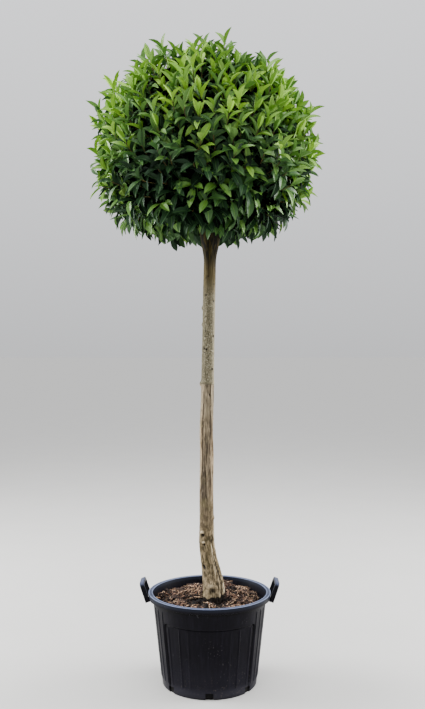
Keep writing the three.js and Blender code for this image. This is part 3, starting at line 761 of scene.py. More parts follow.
def soil_height(x, y):
    """The compost's surface with mounds and lumps, and where it is on a crest, out of painted shade.
    """
    from_axis = np.hypot(x, y)
    places = columns(x, y, 0.0)
    mounds = soft_noise(places / 0.075, 1.0)
    lumps = soft_noise(places / 0.029, 6.0) - 0.5
    crumbs = soft_noise(places / 0.011, 5.0) - 0.5
    grit = soft_noise(places / 0.0045, 8.0) - 0.5
    ring = np.exp(-(((from_axis - MOUND_RADIUS) / MOUND_WIDTH) ** 2))
    base = mix(SOIL_SEAT, SOIL_AT_WALL, smooth_step(from_axis, 0.06, 0.185))
    apart = np.hypot(x - HOLLOW_PLACE[0], y - HOLLOW_PLACE[1]) / HOLLOW_RADIUS
    hollow = HOLLOW_DEPTH * np.exp(-apart**2)
    waves = 0.025 * lumps + 0.013 * crumbs + 0.004 * grit
    shade_by_stem = np.exp(-((np.hypot(x - STEM_PLACE[0], y - STEM_PLACE[1]) / STEM_SHADE) ** 4))
    in_front = smooth_step(-y / np.maximum(from_axis, 0.001), 0.35, 0.85)
    # painted shade: low in the hollows, in the hollow by the stem, near the stem and at the front
    crest = 1.5 * lumps + crumbs - 3.0 * hollow / HOLLOW_DEPTH - 0.25 * shade_by_stem
    crest = smooth_step(crest + mix(0.14, -0.14, in_front), -0.08, 0.28)
    heap = SOIL_MOUND * ring * (0.35 + mounds) * mix(1.0, 0.15, in_front)
    return base + heap + waves - hollow, crest


middle_height = soil_height(np.zeros(1), np.zeros(1))[0]
print("compost in the middle of the pot:", middle_height.round(3), "m up")

# %% The bed of compost
soil_edge = wall_radius(SOIL_SEAT) - WALL - 0.0006
angles = np.linspace(0, 2 * math.pi, SOIL_SIDES, endpoint=False)
rows, crests_out_of_shade = [], []
for radius in np.linspace(soil_edge, 0.004, SOIL_RINGS):
    x, y = radius * np.cos(angles), radius * np.sin(angles)
    heights, crest = soil_height(x, y)
    rows.append(columns(x, y, heights))
    crests_out_of_shade.append(crest)
for height in np.linspace(SOIL_SEAT - 0.01, SOIL_FOOT, SIDE_RINGS):
    rough = 0.0012 * soft_noise(columns(angles * 14, height / 0.004, 0.0), 2.0)
    over_panel = smooth_step(height, PANEL_TOP, PANEL_TOP + 0.006)
    recess = smooth_step(height, 0.012, 0.028) * (1.0 - over_panel)
    recess = (PANEL_DEPTH + GROOVE_UNDER_EDGE) * recess
    radius = wall_radius(height) - 0.0045 - rough - recess
    rows.insert(0, columns(radius * np.cos(angles), radius * np.sin(angles), height))
    crests_out_of_shade.insert(0, np.zeros(SOIL_SIDES))
soil = closed_skin("compost_bed", rows, (0, 0, SOIL_FOOT), (0, 0, rows[-1][:, 2].mean()))
add_skin_attribute(soil, "crest", crests_out_of_shade)
on_surface = np.arange(len(soil.data.vertices)) >= SIDE_RINGS * SOIL_SIDES
on_surface[-2] = False
add_attribute(soil, "open", on_surface)
print("compost bed:", triangles_of(soil), "triangles")

# %% [markdown]
# A chip is a flattened, eight-cornered pebble of bark with broken edges. A fibre is a thin
# three-sided strand with a curl. One tree scatters either over the open surface of the
# bed, turns each at random about the upright, tips it and varies its size. The paler bits
# lie mostly on the crests, and every bit is painted darker where shade falls: in the
# hollows between the lumps, by the stem and towards the front. None lies so near the
# wall that it would poke through.

# %% One chip and one fibre
def chip_shape():
    """A flat sliver of bark about one unit long, lying along X."""
    outline = ((-0.5, -0.04), (-0.32, -0.16), (0.1, -0.19), (0.42, -0.12),
               (0.5, 0.05), (0.2, 0.18), (-0.2, 0.15), (-0.45, 0.08))
    count = len(outline)
    points = [(x, y, -0.05) for x, y in outline]
    points += [(0.86 * x, 0.82 * y, 0.07 + 0.03 * math.sin(5 * x)) for x, y in outline]
    caps = [range(count, 2 * count), range(count)[::-1]]
    return mesh_from("chip_shape", points, ring_faces(2, count) + caps)


def fibre_shape():
    """A curled strand about one unit long."""
    steps, sides = 7, 3
    points = []
    for i in range(steps):
        t = i / (steps - 1)
        middle = np.array([t - 0.5, 0.16 * math.sin(3.4 * t), 0.10 * math.sin(math.pi * t)])
        thick = 0.019 * (1.1 - 0.7 * abs(2 * t - 1))
        for k in range(sides):
            turn = 2 * math.pi * k / sides
            points.append(middle + thick * np.array([0, math.cos(turn), math.sin(turn)]))
    caps = [range(sides)[::-1], range(len(points))[-sides:]]
    return mesh_from("fibre_shape", points, ring_faces(steps, sides) + caps)


shapes = {"chip": chip_shape(), "fibre": fibre_shape()}
for kind, shape in shapes.items():
    print("one", kind, triangles_of(shape), "triangles")


# %% The node tree that strews them
def scatter_tree():
    """Strews a shape over the open bed, each copy turned, tipped, sized and lifted clear."""
    tree = Tree("Scatter over the bed", {
        "Shape": "Object", "Per square metre": "Float", "Shortest": "Float", "Longest": "Float",
        "Tip": "Float", "Lift": "Float", "Reach": "Float", "Crests only": "Float",
        "Material": "Material", "Seed": "Int"})
    add, given = tree.add, tree.given
    multiply = {"operation": "MULTIPLY"}
    on_top = add("FunctionNodeCompare", {0: tree.attribute("open"), 1: 0.5})
    place = add("GeometryNodeInputPosition")
    level = add("ShaderNodeVectorMath", {0: place, 1: (1.0, 1.0, 0.0)}, multiply)
    from_axis = add("ShaderNodeVectorMath", {0: level}, {"operation": "LENGTH"}, out="Value")
    clear = add("FunctionNodeCompare", {0: from_axis, 1: given["Reach"]}, {"operation": "LESS_THAN"})
    chosen = add("FunctionNodeBooleanMath", {0: on_top, 1: clear})
    share = add("ShaderNodeMapRange", {
        "Value": given["Crests only"], "To Min": 1.0, "To Max": tree.attribute("crest")})
    density = add("ShaderNodeMath", {0: given["Per square metre"], 1: share}, multiply)
    points = add("GeometryNodeDistributePointsOnFaces", {
        "Mesh": given["Geometry"], "Selection": chosen, "Density": density, "Seed": given["Seed"]})
    tip_back = add("ShaderNodeMath", {0: given["Tip"], 1: -1.0}, multiply)
    least = add("ShaderNodeCombineXYZ", {"X": tip_back, "Y": tip_back})
    most = add("ShaderNodeCombineXYZ", {"X": given["Tip"], "Y": given["Tip"], "Z": 2 * math.pi})
    turn = add("FunctionNodeRandomValue", {0: least, 1: most, "Seed": given["Seed"]},
               {"data_type": "FLOAT_VECTOR"})
    size = add("FunctionNodeRandomValue", {
        2: given["Shortest"], 3: given["Longest"], "Seed": given["Seed"]},
        {"data_type": "FLOAT"}, out=1)
    shape = add("GeometryNodeObjectInfo", {"Object": given["Shape"]}, out="Geometry")
    placed = add("GeometryNodeInstanceOnPoints", {
        "Points": points, "Instance": shape, "Rotation": turn, "Scale": size})
    real = add("GeometryNodeRealizeInstances", {0: placed})
    offset = add("ShaderNodeCombineXYZ", {"Z": given["Lift"]})
    seated = add("GeometryNodeSetPosition", {0: real, "Offset": offset})
    return tree.close(add("GeometryNodeSetMaterial", {0: seated, "Material": given["Material"]}))


scatter = scatter_tree()
print("nodes in the tree that strews:", len(scatter.group.nodes))


# %% Finish of the bits of bark
def bark_bit_finish(name, pale, dark):
    """Composted bark: one colour blotched with a darker one, rough all over.

    Painted shade turns it nearly black off the crests and down in the pot.
    """
    finish = Finish(name, pale, 0.85, specular=0.2)
    bark = finish.blend(dark, pale, finish.ramp(finish.noise(140.0), 0.38, 0.62))
    # painted shade, nearly black, off the crests
    bark = finish.blend((5, 3, 3), bark, finish.ramp(finish.attribute("crest"), 0.0, 0.45, 0.12, 1.0))
    finish.bump(finish.noise(500.0), 0.0008, 0.6)
    # painted shade, nearly black, down in the pot and in the drain notches
    return finish.painted(finish.blend((3, 2, 2), bark, finish.ramp(finish.height(), 0.04, 0.10)))


# %% Chips and fibres
TIPS = {"chip": 0.85, "fibre": 0.35}
LIFT = 0.0018
LOOSE_BITS = {
    # shape, how many to a square metre, shortest, longest, crests only, pale colour, dark colour
    "chips_dark": ("chip", 21000.0, 0.008, 0.028, 0.0, (48, 35, 30), (16, 11, 9)),
    "chips_brown": ("chip", 12500.0, 0.008, 0.026, 0.92, (122, 92, 74), (54, 40, 32)),
    "chips_tan": ("chip", 5200.0, 0.006, 0.018, 1.0, (214, 184, 152), (138, 109, 88)),
    "chips_orange": ("chip", 700.0, 0.006, 0.016, 0.8, (206, 150, 112), (146, 98, 72)),
    "crumbs_tan": ("chip", 26000.0, 0.003, 0.008, 0.9, (176, 146, 122), (96, 74, 62)),
    "fibres_brown": ("fibre", 13000.0, 0.016, 0.044, 0.5, (112, 88, 76), (50, 38, 32)),
    "fibres_tan": ("fibre", 5600.0, 0.018, 0.052, 0.8, (210, 178, 146), (138, 108, 84)),
}
dress(soil, "soil", bark_bit_finish("moist_compost", (30, 21, 18), (8, 6, 5)))
for seed, (name, bit) in enumerate(LOOSE_BITS.items()):
    kind, density, shortest, longest, crests_only, pale, dark = bit
    bits = new_object("compost_" + name, soil.data.copy())
    scatter.run_on(bits, {
        "Shape": shapes[kind], "Per square metre": density, "Shortest": shortest,
        "Longest": longest, "Tip": TIPS[kind], "Lift": LIFT,
        "Reach": soil_edge + 0.5 * WALL - 0.5 * longest, "Crests only": crests_only,
        "Material": bark_bit_finish("bark_" + name, pale, dark), "Seed": 11 + seed})
    dress(bits, "soil")
    print(bits.name, triangles_of(bits), "triangles")
for shape in shapes.values():
    bpy.data.objects.remove(shape)

# %% [markdown]
# # Stem and boughs
#
# The stem is one straight cherry trunk. Its foot flares and steps to one side where it
# leaves the root ball, a slim ring at waist height marks the old graft, and the head
# thickens where the boughs spring from it. Radius and middle line are functions of
# height, the same ones that the solid in the frame was made from.

# %% The stem's shape
STEM_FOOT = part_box("trunk")[0].z
HEAD_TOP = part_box("trunk")[1].z
GRAFT_HEIGHT = 1.022
HEAD_START = 1.440
HEAD_WIDEST = 1.548
HEAD_RADIUS = 0.036
FOOT_LOBES = 5


def stem_middle(height):
    """How far the middle of the stem stands to the right of the pot's axis."""
    above = height - STEM_FOOT
    step = 0.0245 * (1.0 - smooth_step(above, 0.025, 0.210))
    lean = 0.014 * np.clip((above - 0.560) / (HEAD_TOP - STEM_FOOT - 0.560), 0.0, None)
    return -0.0105 + step + lean


def stem_radius(height):
    """The stem without its relief: flared foot, graft swelling, and a head under a dome."""
    above = np.clip(height - STEM_FOOT, 0.0, None)
    plain = 0.0212 + 0.0105 * np.exp(-above / 0.290) + 0.0058 * np.exp(-((above / 0.115) ** 4))
    plain = plain + 0.0016 * np.exp(-(((height - GRAFT_HEIGHT) / 0.011) ** 2))
    body = mix(plain, HEAD_RADIUS, smooth_step(height, HEAD_START, HEAD_WIDEST))
    dome = np.clip((height - HEAD_WIDEST) / (HEAD_TOP - HEAD_WIDEST), 0.0, 1.0)
    return body * np.sqrt(1.0 - 0.8 * dome**3)


print("stem:", round(HEAD_TOP - STEM_FOOT, 3), "m from its foot to the top of its head")

# %% [markdown]
# Old cherry bark below the graft is split by long upright furrows between flat
# plates, and flakes off near the foot. Above the graft it is young and smooth, with
# small dark scars. The cracks are lanes round the stem whose lines stray sideways by
# noise, so they run upright, open and close, and never curl into rings. Two sets that
# slant against each other break the foot into plates. The depth goes into the mesh, so
# that the outline and the shadows are real, and it is kept as an attribute as well,
# which later paints shade into the furrows and the eyes of the knots.

# %% Knots and other marks of the stem
STEM_SIDES = 130
STEM_RINGS = 765
KNOTS = (
    # height, degrees from the front, radius, how far it stands out, how deep its eye is
    (0.513, -33, 0.0078, 0.0046, 0.0100), (0.480, -22, 0.0060, 0.0028, 0.0070),
    (0.408, -58, 0.0125, 0.0020, 0.0095), (0.330, -9, 0.0135, 0.0065, 0.0055),
    (1.150, -44, 0.0064, 0.0018, 0.0036), (1.146, -18, 0.0052, 0.0014, 0.0030),
    (1.192, 50, 0.0062, 0.0014, 0.0030), (1.312, 50, 0.0060, 0.0016, 0.0030),
    (1.284, -88, 0.0050, 0.0040, 0.0000), (1.227, -85, 0.0045, 0.0030, 0.0000),
    (1.079, 42, 0.0060, 0.0016, 0.0030), (1.331, -32, 0.0046, 0.0012, 0.0022),
    (1.395, -13, 0.0036, 0.0010, 0.0022), (1.388, -35, 0.0030, 0.0010, 0.0018),
    (1.368, 47, 0.0038, 0.0012, 0.0022), (1.024, -88, 0.0060, 0.0050, 0.0000),
    (0.640, 155, 0.0090, 0.0040, 0.0060), (0.900, 110, 0.0060, 0.0025, 0.0040),
    (0.720, -120, 0.0070, 0.0030, 0.0050), (1.120, 170, 0.0050, 0.0020, 0.0030),
    (1.290, 130, 0.0040, 0.0014, 0.0024), (0.560, 75, 0.0070, 0.0030, 0.0050),
)

# the cut stubs that are rubbed pale and the one brown knot, by height, and how high the painted shade
# at the foot reaches
PALE_STUBS = (0.513, 0.480)
BROWN_KNOTS = (0.330,)
FOOT_SHADE_TOP = 0.305
CRACK_RADIUS = 0.026
print("knots:", len(KNOTS))


# %% Cracks
def bark_noise(angle, height, cell, tall, seed):
    """Smooth hills on a cylinder without a seam, each about one cell wide and so tall."""
    x, y = CRACK_RADIUS * np.cos(angle), CRACK_RADIUS * np.sin(angle)
    return soft_noise(columns(x / cell, y / cell, height / tall), seed)


def upright_cracks(angle, height, count, run, half_width, slant, seed):
    """1 in cracks that wander up the stem, count of them round it, and 0 between them.

    run is the height over which a crack strays, and slant how far it turns for each metre.
    """
    stray = 1.7 * (bark_noise(angle, height, 0.020, run, seed) - 0.5)
    stray += 0.6 * (bark_noise(angle, height, 0.009, run / 4, seed + 1.0) - 0.5)
    lane = angle / (2 * math.pi) * count + slant * height + stray
    apart = np.abs(lane - np.round(lane)) * 2 * math.pi * CRACK_RADIUS / count
    open_share = smooth_step(bark_noise(angle, height, 0.016, run / 2, seed + 2.0), 0.34, 0.60)
    half = np.maximum(half_width * open_share, 0.0002)
    return (1.0 - smooth_step(apart, 0.25 * half, half)) * smooth_step(open_share, 0.1, 0.5)


# %% Relief of the bark
def bark_relief(angle, height):
    """The bark's relief, its painted shade, and where it is pale: rubbed stubs and painted highlights.
    """
    noise = partial(bark_noise, angle, height)
    cracks = partial(upright_cracks, angle, height)
    old = 1.0 - smooth_step(height, GRAFT_HEIGHT - 0.05, GRAFT_HEIGHT)
    head = smooth_step(height, 1.38, 1.50)
    low_down = 1.0 - smooth_step(height, 0.50, 0.66)
    right_side = smooth_step(np.sin(angle - 0.35), -0.25, 0.35)
    flaky = low_down * mix(0.22, 1.0, right_side)
    long_cracks = cracks(8, 0.190, 0.0025, 0.0, 1.0)
    plate_cracks = np.maximum(
        cracks(19, 0.060, 0.0017, 6.0, 4.0), cracks(16, 0.045, 0.0015, -6.0, 9.0))
    plates = noise(0.010, 0.045, 12.0)
    swells = noise(0.018, 0.110, 14.0)
    grain = noise(0.0035, 0.0100, 15.0)
    flutes = noise(0.013, 0.150, 18.0)
    scars = smooth_step(noise(0.0110, 0.0050, 21.0), 0.80, 0.90)
    scars = scars * smooth_step(height, 0.98, 1.05) * (1.0 - head)
    graft_line = np.exp(-(((height - GRAFT_HEIGHT + 0.003 * np.sin(angle)) / 0.0020) ** 2))
    relief = 0.0026 * (swells - 0.5) * (old + 0.4) + 0.0034 * flaky * (plates - 0.4)
    long_cracks = long_cracks * (old * mix(1.0, 0.4, low_down * (1.0 - right_side)) + 0.5 * head)
    relief -= 0.0020 * long_cracks + 0.0030 * flaky * plate_cracks
    relief += 0.0012 * (grain - 0.5) * mix(0.7, 1.3, flaky)
    relief += 0.0044 * head * (flutes - 0.5) - 0.0007 * scars - 0.0014 * graft_line
    # painted shade, nearly black, in cracks and between plates; the scars and the graft line are dark
    # marks of their own
    stain_and_shade = np.maximum.reduce([
        0.9 * long_cracks, 0.8 * flaky * plate_cracks, 0.7 * scars, 0.55 * graft_line,
        0.5 * flaky * smooth_step(plates, 0.42, 0.22)])
    # painted highlight on the ridges of the flaky foot, strongest on its right side
    ridges = noise(0.0050, 0.036, 24.0) + 0.4 * (plates - 0.5)
    pale = 0.75 * flaky * smooth_step(ridges, 0.50, 0.70) * (1.0 - plate_cracks)
    for knot_height, degrees, reach, stand, depth in KNOTS:
        sideways = turned_from(angle, math.radians(degrees)) * stem_radius(height)
        apart = np.hypot(sideways, (height - knot_height) * 0.8) / reach
        below = np.hypot(sideways - 0.2 * reach, height - knot_height + 0.85 * reach)
        below = below / (0.74 * reach)
        eye = np.exp(-(below**2)) if depth > 0 else np.zeros_like(height)
        bulge = np.exp(-(apart**2))
        relief += stand * bulge - depth * eye
        # the cut stubs are rubbed pale; the brown knot's pale top is a painted highlight
        brown = knot_height in BROWN_KNOTS
        if brown or knot_height in PALE_STUBS:
            shine = 0.75 if brown else 1.2
            pale = np.maximum(pale, np.clip(shine * bulge - 1.6 * eye, 0.0, 1.0))
        # painted shade in each knot's eye, a little less in the brown knot's
        darkness = 0.75 if brown else 1.3
        stain_and_shade = np.maximum(stain_and_shade * (1.0 - 0.9 * bulge), darkness * eye)
    # painted shade at the foot, where the stem goes into the compost, with a ragged top
    ragged = 0.022 * (bark_noise(angle, 0.0, 0.007, 1.0, 50.0) - 0.5)
    edge = height + ragged - 0.006 * np.sin(angle)
    end_shade = 1.0 - smooth_step(edge, FOOT_SHADE_TOP - 0.008, FOOT_SHADE_TOP)
    return relief, np.maximum(np.clip(stain_and_shade, 0.0, 1.0), end_shade), pale * (1.0 - end_shade)


up_the_front = bark_relief(np.zeros(500), np.linspace(STEM_FOOT, HEAD_TOP, 500))[0]
print("relief up the front:", up_the_front.min().round(4), "to", up_the_front.max().round(4), "m")


# %% Grey bands
def grey_band(angle, height):
    """Where the plates of the old bark have weathered grey: front and back, wandering."""
    wander = 0.9 * (bark_noise(0.0, height, 0.02, 0.22, 40.0) - 0.5)
    ragged = 0.5 * (bark_noise(angle, height, 0.009, 0.070, 43.0) - 0.5)
    front = np.cos(angle - wander) + ragged
    back = np.cos(angle - wander - math.pi + 0.4) + ragged
    weathered = smooth_step(height, 0.50, 0.66) * mix(1.0, 0.45, smooth_step(height, 0.82, 0.92))
    return smooth_step(np.maximum(front, back), 0.45, 0.95) * weathered


# %% [markdown]
# The stem's skin has five soft lobes at its foot and the relief all the way up. What its
# finish has to know of each point goes with it: painted shade, pale marks, side and grey band.

# %% The stem's mesh
angles = np.linspace(0, 2 * math.pi, STEM_SIDES, endpoint=False)
heights = np.linspace(STEM_FOOT - 0.030, HEAD_TOP, STEM_RINGS)
angle, height = (a.ravel() for a in np.meshgrid(angles, heights))
relief, stain_and_shade, pale = bark_relief(angle, height)
lobes = 0.05 * np.exp(-np.clip(height - STEM_FOOT, 0, None) / 0.115)
lobes = lobes * np.cos(FOOT_LOBES * (angle - math.pi / 2) + 0.6)
reach = stem_radius(height) * (1.0 + lobes) + relief
rings = columns(stem_middle(height) + reach * np.sin(angle), -reach * np.cos(angle), height)
foot, head = ((stem_middle(h), 0.0, h) for h in (heights[0], heights[-1]))
stem = closed_skin("stem", rings.reshape(STEM_RINGS, STEM_SIDES, 3), foot, head)
add_skin_attribute(stem, "stain_and_shade", stain_and_shade)
add_skin_attribute(stem, "pale", pale)
add_skin_attribute(stem, "aside", np.sin(angle))
add_skin_attribute(stem, "grey_band", grey_band(angle, height))
print("stem:", triangles_of(stem), "triangles")

# %% [markdown]
# Eleven boughs carry the crown: two rings of five and a leader. Each is a flat curve from
# inside the stem's head to the heart of its share of the crown. A smooth curve drawn by
# three corners is worked out here, because branches will start from any place on it.

# %% The limbs
CROWN_MIDDLE = np.array([-0.0107, 0.0, 1.775])
RING_COUNT = 5
MASS_ENTRY = 0.110
LIMB_RINGS = {
    # foot radius, foot height, heart radius, heart height, elbow out, elbow up, turn, thickness
    "lower": (0.019, 1.524, 0.235, 1.686, 0.20, 0.95, 0.80, 0.012),
    "upper": (0.016, 1.560, 0.230, 1.945, 0.26, 0.60, 0.17, 0.010),
    "top": (0.000, 1.572, 0.008, 2.070, 3.00, 0.50, 1.30, 0.0105),
}


def curve_at(corners, shares):
    """Points at an array of shares along a curve of three corners."""
    t = np.asarray(shares, float)[:, None]
    return (1 - t) ** 2 * corners[0] + 2 * t * (1 - t) * corners[1] + t**2 * corners[2]


def unit(vectors):
    """Vectors of the same directions, each one unit long."""
    vectors = np.asarray(vectors, float)
    return vectors / np.maximum(np.linalg.norm(vectors, axis=-1, keepdims=True), 1e-9)


def make_limb(name, ring, index, count):
    """The curve of one limb, and the share of it at which it enters its mass of leaves."""
    foot_radius, foot_z, heart_radius, heart_z, elbow_out, elbow_up, turn, thickness = ring
    way = turn + 2 * math.pi * index / count
    outwards = np.array([math.cos(way), math.sin(way), 0.0])
    foot = np.array([float(stem_middle(foot_z)), 0.0, foot_z]) + foot_radius * outwards
    heart = np.array([CROWN_MIDDLE[0], 0.0, heart_z]) + heart_radius * outwards
    elbow = mix(foot, heart, np.array([elbow_out, elbow_out, elbow_up]))
    corners = np.array([foot, elbow, heart])
    path = curve_at(corners, np.linspace(0, 1, 60))
    length = np.linalg.norm(np.diff(path, axis=0), axis=1).sum()
    return {"name": name, "corners": corners, "heart": heart, "thickness": thickness,
            "entry": 1.0 - MASS_ENTRY / length, "length": length}


limbs = [make_limb(f"{name}_{i + 1}", LIMB_RINGS[name], i, RING_COUNT)
         for name in ("lower", "upper") for i in range(RING_COUNT)]
limbs.append(make_limb("top", LIMB_RINGS["top"], 0, 1))
print("limbs:", len(limbs), "longest", round(max(limb["length"] for limb in limbs), 3), "m")

# %% [markdown]
# A bough is a tube swept along its limb: rings of points square to the curve, thinner
# towards the tip, with a little noise so that it is nowhere a clean pipe.

# %% Boughs
BOUGH_SIDES = 18
BOUGH_RINGS = 64
BOUGH_ROUGHNESS = 0.28


def tube(name, path, radii, sides, roughness, seed):
    """A closed tube of rings along an array of points, with a slightly uneven surface."""
    along = unit(np.gradient(path, axis=0))
    across = unit(np.cross(along, unit(UP + 0.31 * np.array([1.0, 0.4, 0.0]))))
    third = np.cross(along, across)
    turns = np.linspace(0, 2 * math.pi, sides, endpoint=False)
    rings = []
    for i, middle in enumerate(path):
        out = np.cos(turns)[:, None] * across[i] + np.sin(turns)[:, None] * third[i]
        bumps = soft_noise((middle + out * radii[i]) / 0.009, seed) - 0.5
        rings.append(middle + out * (radii[i] * (1.0 + roughness * bumps))[:, None])
    return rod(name, np.concatenate(rings), sides)


def limb_radius(limb, shares):
    """The thickness along a limb: full at the foot, less than half of it at the heart."""
    before = mix(1.0, 0.62, shares / limb["entry"])
    inside = mix(0.62, 0.40, (shares - limb["entry"]) / (1.0 - limb["entry"]))
    return limb["thickness"] * np.where(shares <= limb["entry"], before, inside)


boughs = []
for seed, limb in enumerate(limbs):
    shares = np.linspace(0, 1, BOUGH_RINGS)
    boughs.append(tube("bough_skin_" + limb["name"], curve_at(limb["corners"], shares),
                       limb_radius(limb, shares), BOUGH_SIDES, BOUGH_ROUGHNESS, float(seed)))
print("boughs:", sum(triangles_of(bough) for bough in boughs), "triangles")

# %% [markdown]
# The bark is tan below the graft with weathered grey bands, paler just under the graft,
# with thin dark lines in its upper half and dark spots in its lower half. One stretch
# lies in painted shade. Above the graft it is grey-green and speckled, with painted shade
# on the left and a painted highlight on the right, and it is painted darker under the
# crown, first brown and then dark olive, as shade. The furrows and the eyes of the knots
# are painted nearly black.

# %% Bark of the stem
def stem_finish():
    """Bark that changes by height, with light and shade painted by side, under the crown and in the
    relief.
    """
    finish = Finish("furrowed_cherry_bark", (120, 104, 80), 0.85, specular=0.15)
    noise, ramp, both, height = finish.noise, finish.ramp, finish.both, finish.height()
    aside = finish.attribute("aside")
    stripes = noise((150, 150, 9), 5.0)
    fibres = noise((330, 330, 34), 4.0)
    mottle = noise((95, 95, 60), 4.0)
    blotches = noise(26.0, 5.0)
    specks = noise(300.0)
    lines = ramp(noise((120, 120, 1.6), 2.0), 0.54, 0.60, 0.0, 0.85)
    lines = both(lines, ramp(height, 0.60, 0.70))
    rubbed = both(ramp(height, 0.41, 0.34), ramp(mottle, 0.40, 0.56, 0.1, 0.7))
    spots = ramp(noise((190, 190, 130)), 0.56, 0.66, 0.0, 0.7)
    spots = both(spots, ramp(height, 0.66, 0.56))
    shaded = both(ramp(height, 0.48, 0.54), ramp(height, 0.66, 0.58, 0.0, 0.6))
    tan = finish.blend((104, 86, 62), (160, 141, 112), ramp(stripes, 0.38, 0.62))
    olive = finish.blend((64, 56, 36), (120, 105, 78), ramp(mottle, 0.36, 0.62))
    grey = finish.blend((56, 48, 38), (110, 97, 79), ramp(stripes, 0.36, 0.64))
    # darker brown below the head, where the painted shade of the crown begins
    brown = finish.blend((51, 42, 24), (82, 72, 44), ramp(stripes, 0.38, 0.62))
    # painted shade under the crown, nearly black olive
    end_shade = finish.blend((12, 9, 4), (52, 44, 14), ramp(stripes, 0.44, 0.66))
    old = finish.coats(
        olive,
        (tan, ramp(height, 0.50, 0.66)),
        (grey, finish.attribute("grey_band")),
        ((96, 92, 54), ramp(blotches, 0.5, 0.72, 0.0, 0.4)),
        ((132, 126, 108), ramp(height, 0.80, 0.99, 0.0, 0.40)),
        ((58, 48, 36), lines),
        ((36, 29, 20), both(lines, ramp(height, 0.78, 0.88, 0.0, 0.7))),
        ((154, 137, 108), rubbed),
        ((52, 42, 31), ramp(fibres, 0.52, 0.66, 0.0, 0.8)),
        ((56, 48, 30), spots),
        ((176, 158, 128), ramp(fibres, 0.45, 0.33, 0.0, 0.5)),
        ((64, 53, 38), both(shaded, ramp(mottle, 0.62, 0.36, 0.4, 1.0))),
    )
    young = finish.coats(
        (82, 77, 58),
        ((107, 100, 80), ramp(mottle, 0.34, 0.60)),
        ((160, 154, 133), ramp(specks, 0.54, 0.66, 0.0, 0.8)),
        ((60, 55, 40), ramp(specks, 0.47, 0.35, 0.0, 0.8)),
        # painted shade on the left side, then a painted highlight on the right
        ((74, 69, 50), ramp(aside, -0.30, -0.85, 0.0, 0.45)),
        ((170, 160, 132), ramp(aside, 0.60, 0.92, 0.0, 0.35)),
    )
    finish.bump(noise((420, 420, 90), 5.0), 0.0018, 0.8)
    return finish.painted(finish.coats(
        old,
        (young, ramp(height, GRAFT_HEIGHT - 0.004, GRAFT_HEIGHT + 0.004)),
        # brown and then the painted shade under the crown
        (brown, ramp(height, 1.29, 1.40)),
        (end_shade, ramp(height, 1.40, 1.47)),
        # pale cut stubs, and painted highlights on the ridges and on the brown knot
        ((182, 166, 136), ramp(finish.attribute("pale"), 0.20, 0.85)),
        # painted shade, nearly black, in the furrows, the eyes of the knots and at the foot, with the
        # dark scars
        ((24, 18, 13), ramp(finish.attribute("stain_and_shade"), 0.15, 0.9)),
    ))


# %% Bark of the boughs
def blotched(finish, dark, pale, scale, detail):
    """The plain bark of boughs and twigs: two colours in blotches of a given scale."""
    blotches = finish.ramp(finish.noise(scale, detail), 0.35, 0.65)
    return finish.painted(finish.blend(dark, pale, blotches))


finish = Finish("bough_bark", (60, 50, 32), 0.8, specular=0.2)
finish.bump(finish.noise(300.0), 0.0010, 0.6)
bough_bark = blotched(finish, (36, 28, 16), (78, 68, 42), 70.0, 4.0)

# %% Dressing the stem and the boughs
dress(stem, "trunk", stem_finish())
for bough, limb in zip(boughs, limbs):
    dress(bough, "bough_" + limb["name"], bough_bark)
print("the stem wears", stem.data.materials[0].name, "and the boughs", bough_bark.name)

# %% [markdown]
# # The crown's framework
#
# The crown is clipped to a globe that is cut off flat below. Its surface is given by a
# compass angle and a level from -1 at the bottom to 1 at the top. Tips spread over it
# evenly by turning each by the golden angle from the last. Eighty-eight main branches
# reach for such tips from the limbs, and each forks into finer twigs that fill the
# surface. New growth turns up to the light at the top and leans outwards at the bottom.

# %% The globe and its tips
GLOBE_RADIUS = 0.398
GLOBE_TOP = 2.168
GLOBE_BOTTOM = 1.450
CLIPPED_BELOW = 1.570
FULLNESS_ABOVE = 2.2
FULLNESS_BELOW = 1.8
LOW_SHIFT = -0.026
UPPER_SHARE = 0.58
GOLDEN_ANGLE = math.pi * (3 - math.sqrt(5))


def globe_point(angle, level):
    """Places on the clipped surface of the crown, for arrays of angles and levels."""
    power = 2.0 / np.where(level > 0, FULLNESS_ABOVE, FULLNESS_BELOW)
    out = GLOBE_RADIUS * np.cos(np.arcsin(level)) ** power
    half = np.where(level > 0, GLOBE_TOP - CROWN_MIDDLE[2], CROWN_MIDDLE[2] - GLOBE_BOTTOM)
    z = CROWN_MIDDLE[2] + np.sign(level) * half * np.abs(level) ** power
    middle = CROWN_MIDDLE[0] + LOW_SHIFT * smooth_step(-level, 0.2, 0.8)
    return columns(middle + out * np.cos(angle), out * np.sin(angle), np.maximum(z, CLIPPED_BELOW))


def spread_tips(count, turn=0.0):
    """Evenly spread tips, more of them above, as (angle, level)."""
    i = np.arange(count)
    share = (i + 0.5) / count
    above = 1.0 - share / UPPER_SHARE
    below = (UPPER_SHARE - share) / (1.0 - UPPER_SHARE)
    return turn + i * GOLDEN_ANGLE, np.where(share < UPPER_SHARE, above, below)


print("globe:", 2 * GLOBE_RADIUS, "m wide,", round(GLOBE_TOP - CLIPPED_BELOW, 3), "m high")

# %% [markdown]
# Each main branch leaves the nearest limb along its outer half and bends outwards to its
# tip. Each shoot leaves the nearest main branch and ends a little inside the globe, or a
# few centimetres further out where it wasn't clipped. Shaded shoots further in fill the
# depth behind them, and a few hang at the lower edge as a skirt.

# %% Which way they grow
BRANCHES = 88
BRANCH_STEPS = 12
BRANCH_REACH = 0.78
SHOOTS = {
    # how many, turn of the first, how far out as a share of the globe, first seed
    "outer": (600, 0.4, 0.865, 0),
    "inner": (400, 1.9, 0.74, 5000),
    "skirt": (14, 0.9, 0.95, 9000),
}
SKIRT_LEVEL = -0.95
SHOOT_STEPS = 9
hearts = np.array([limb["heart"] for limb in limbs])


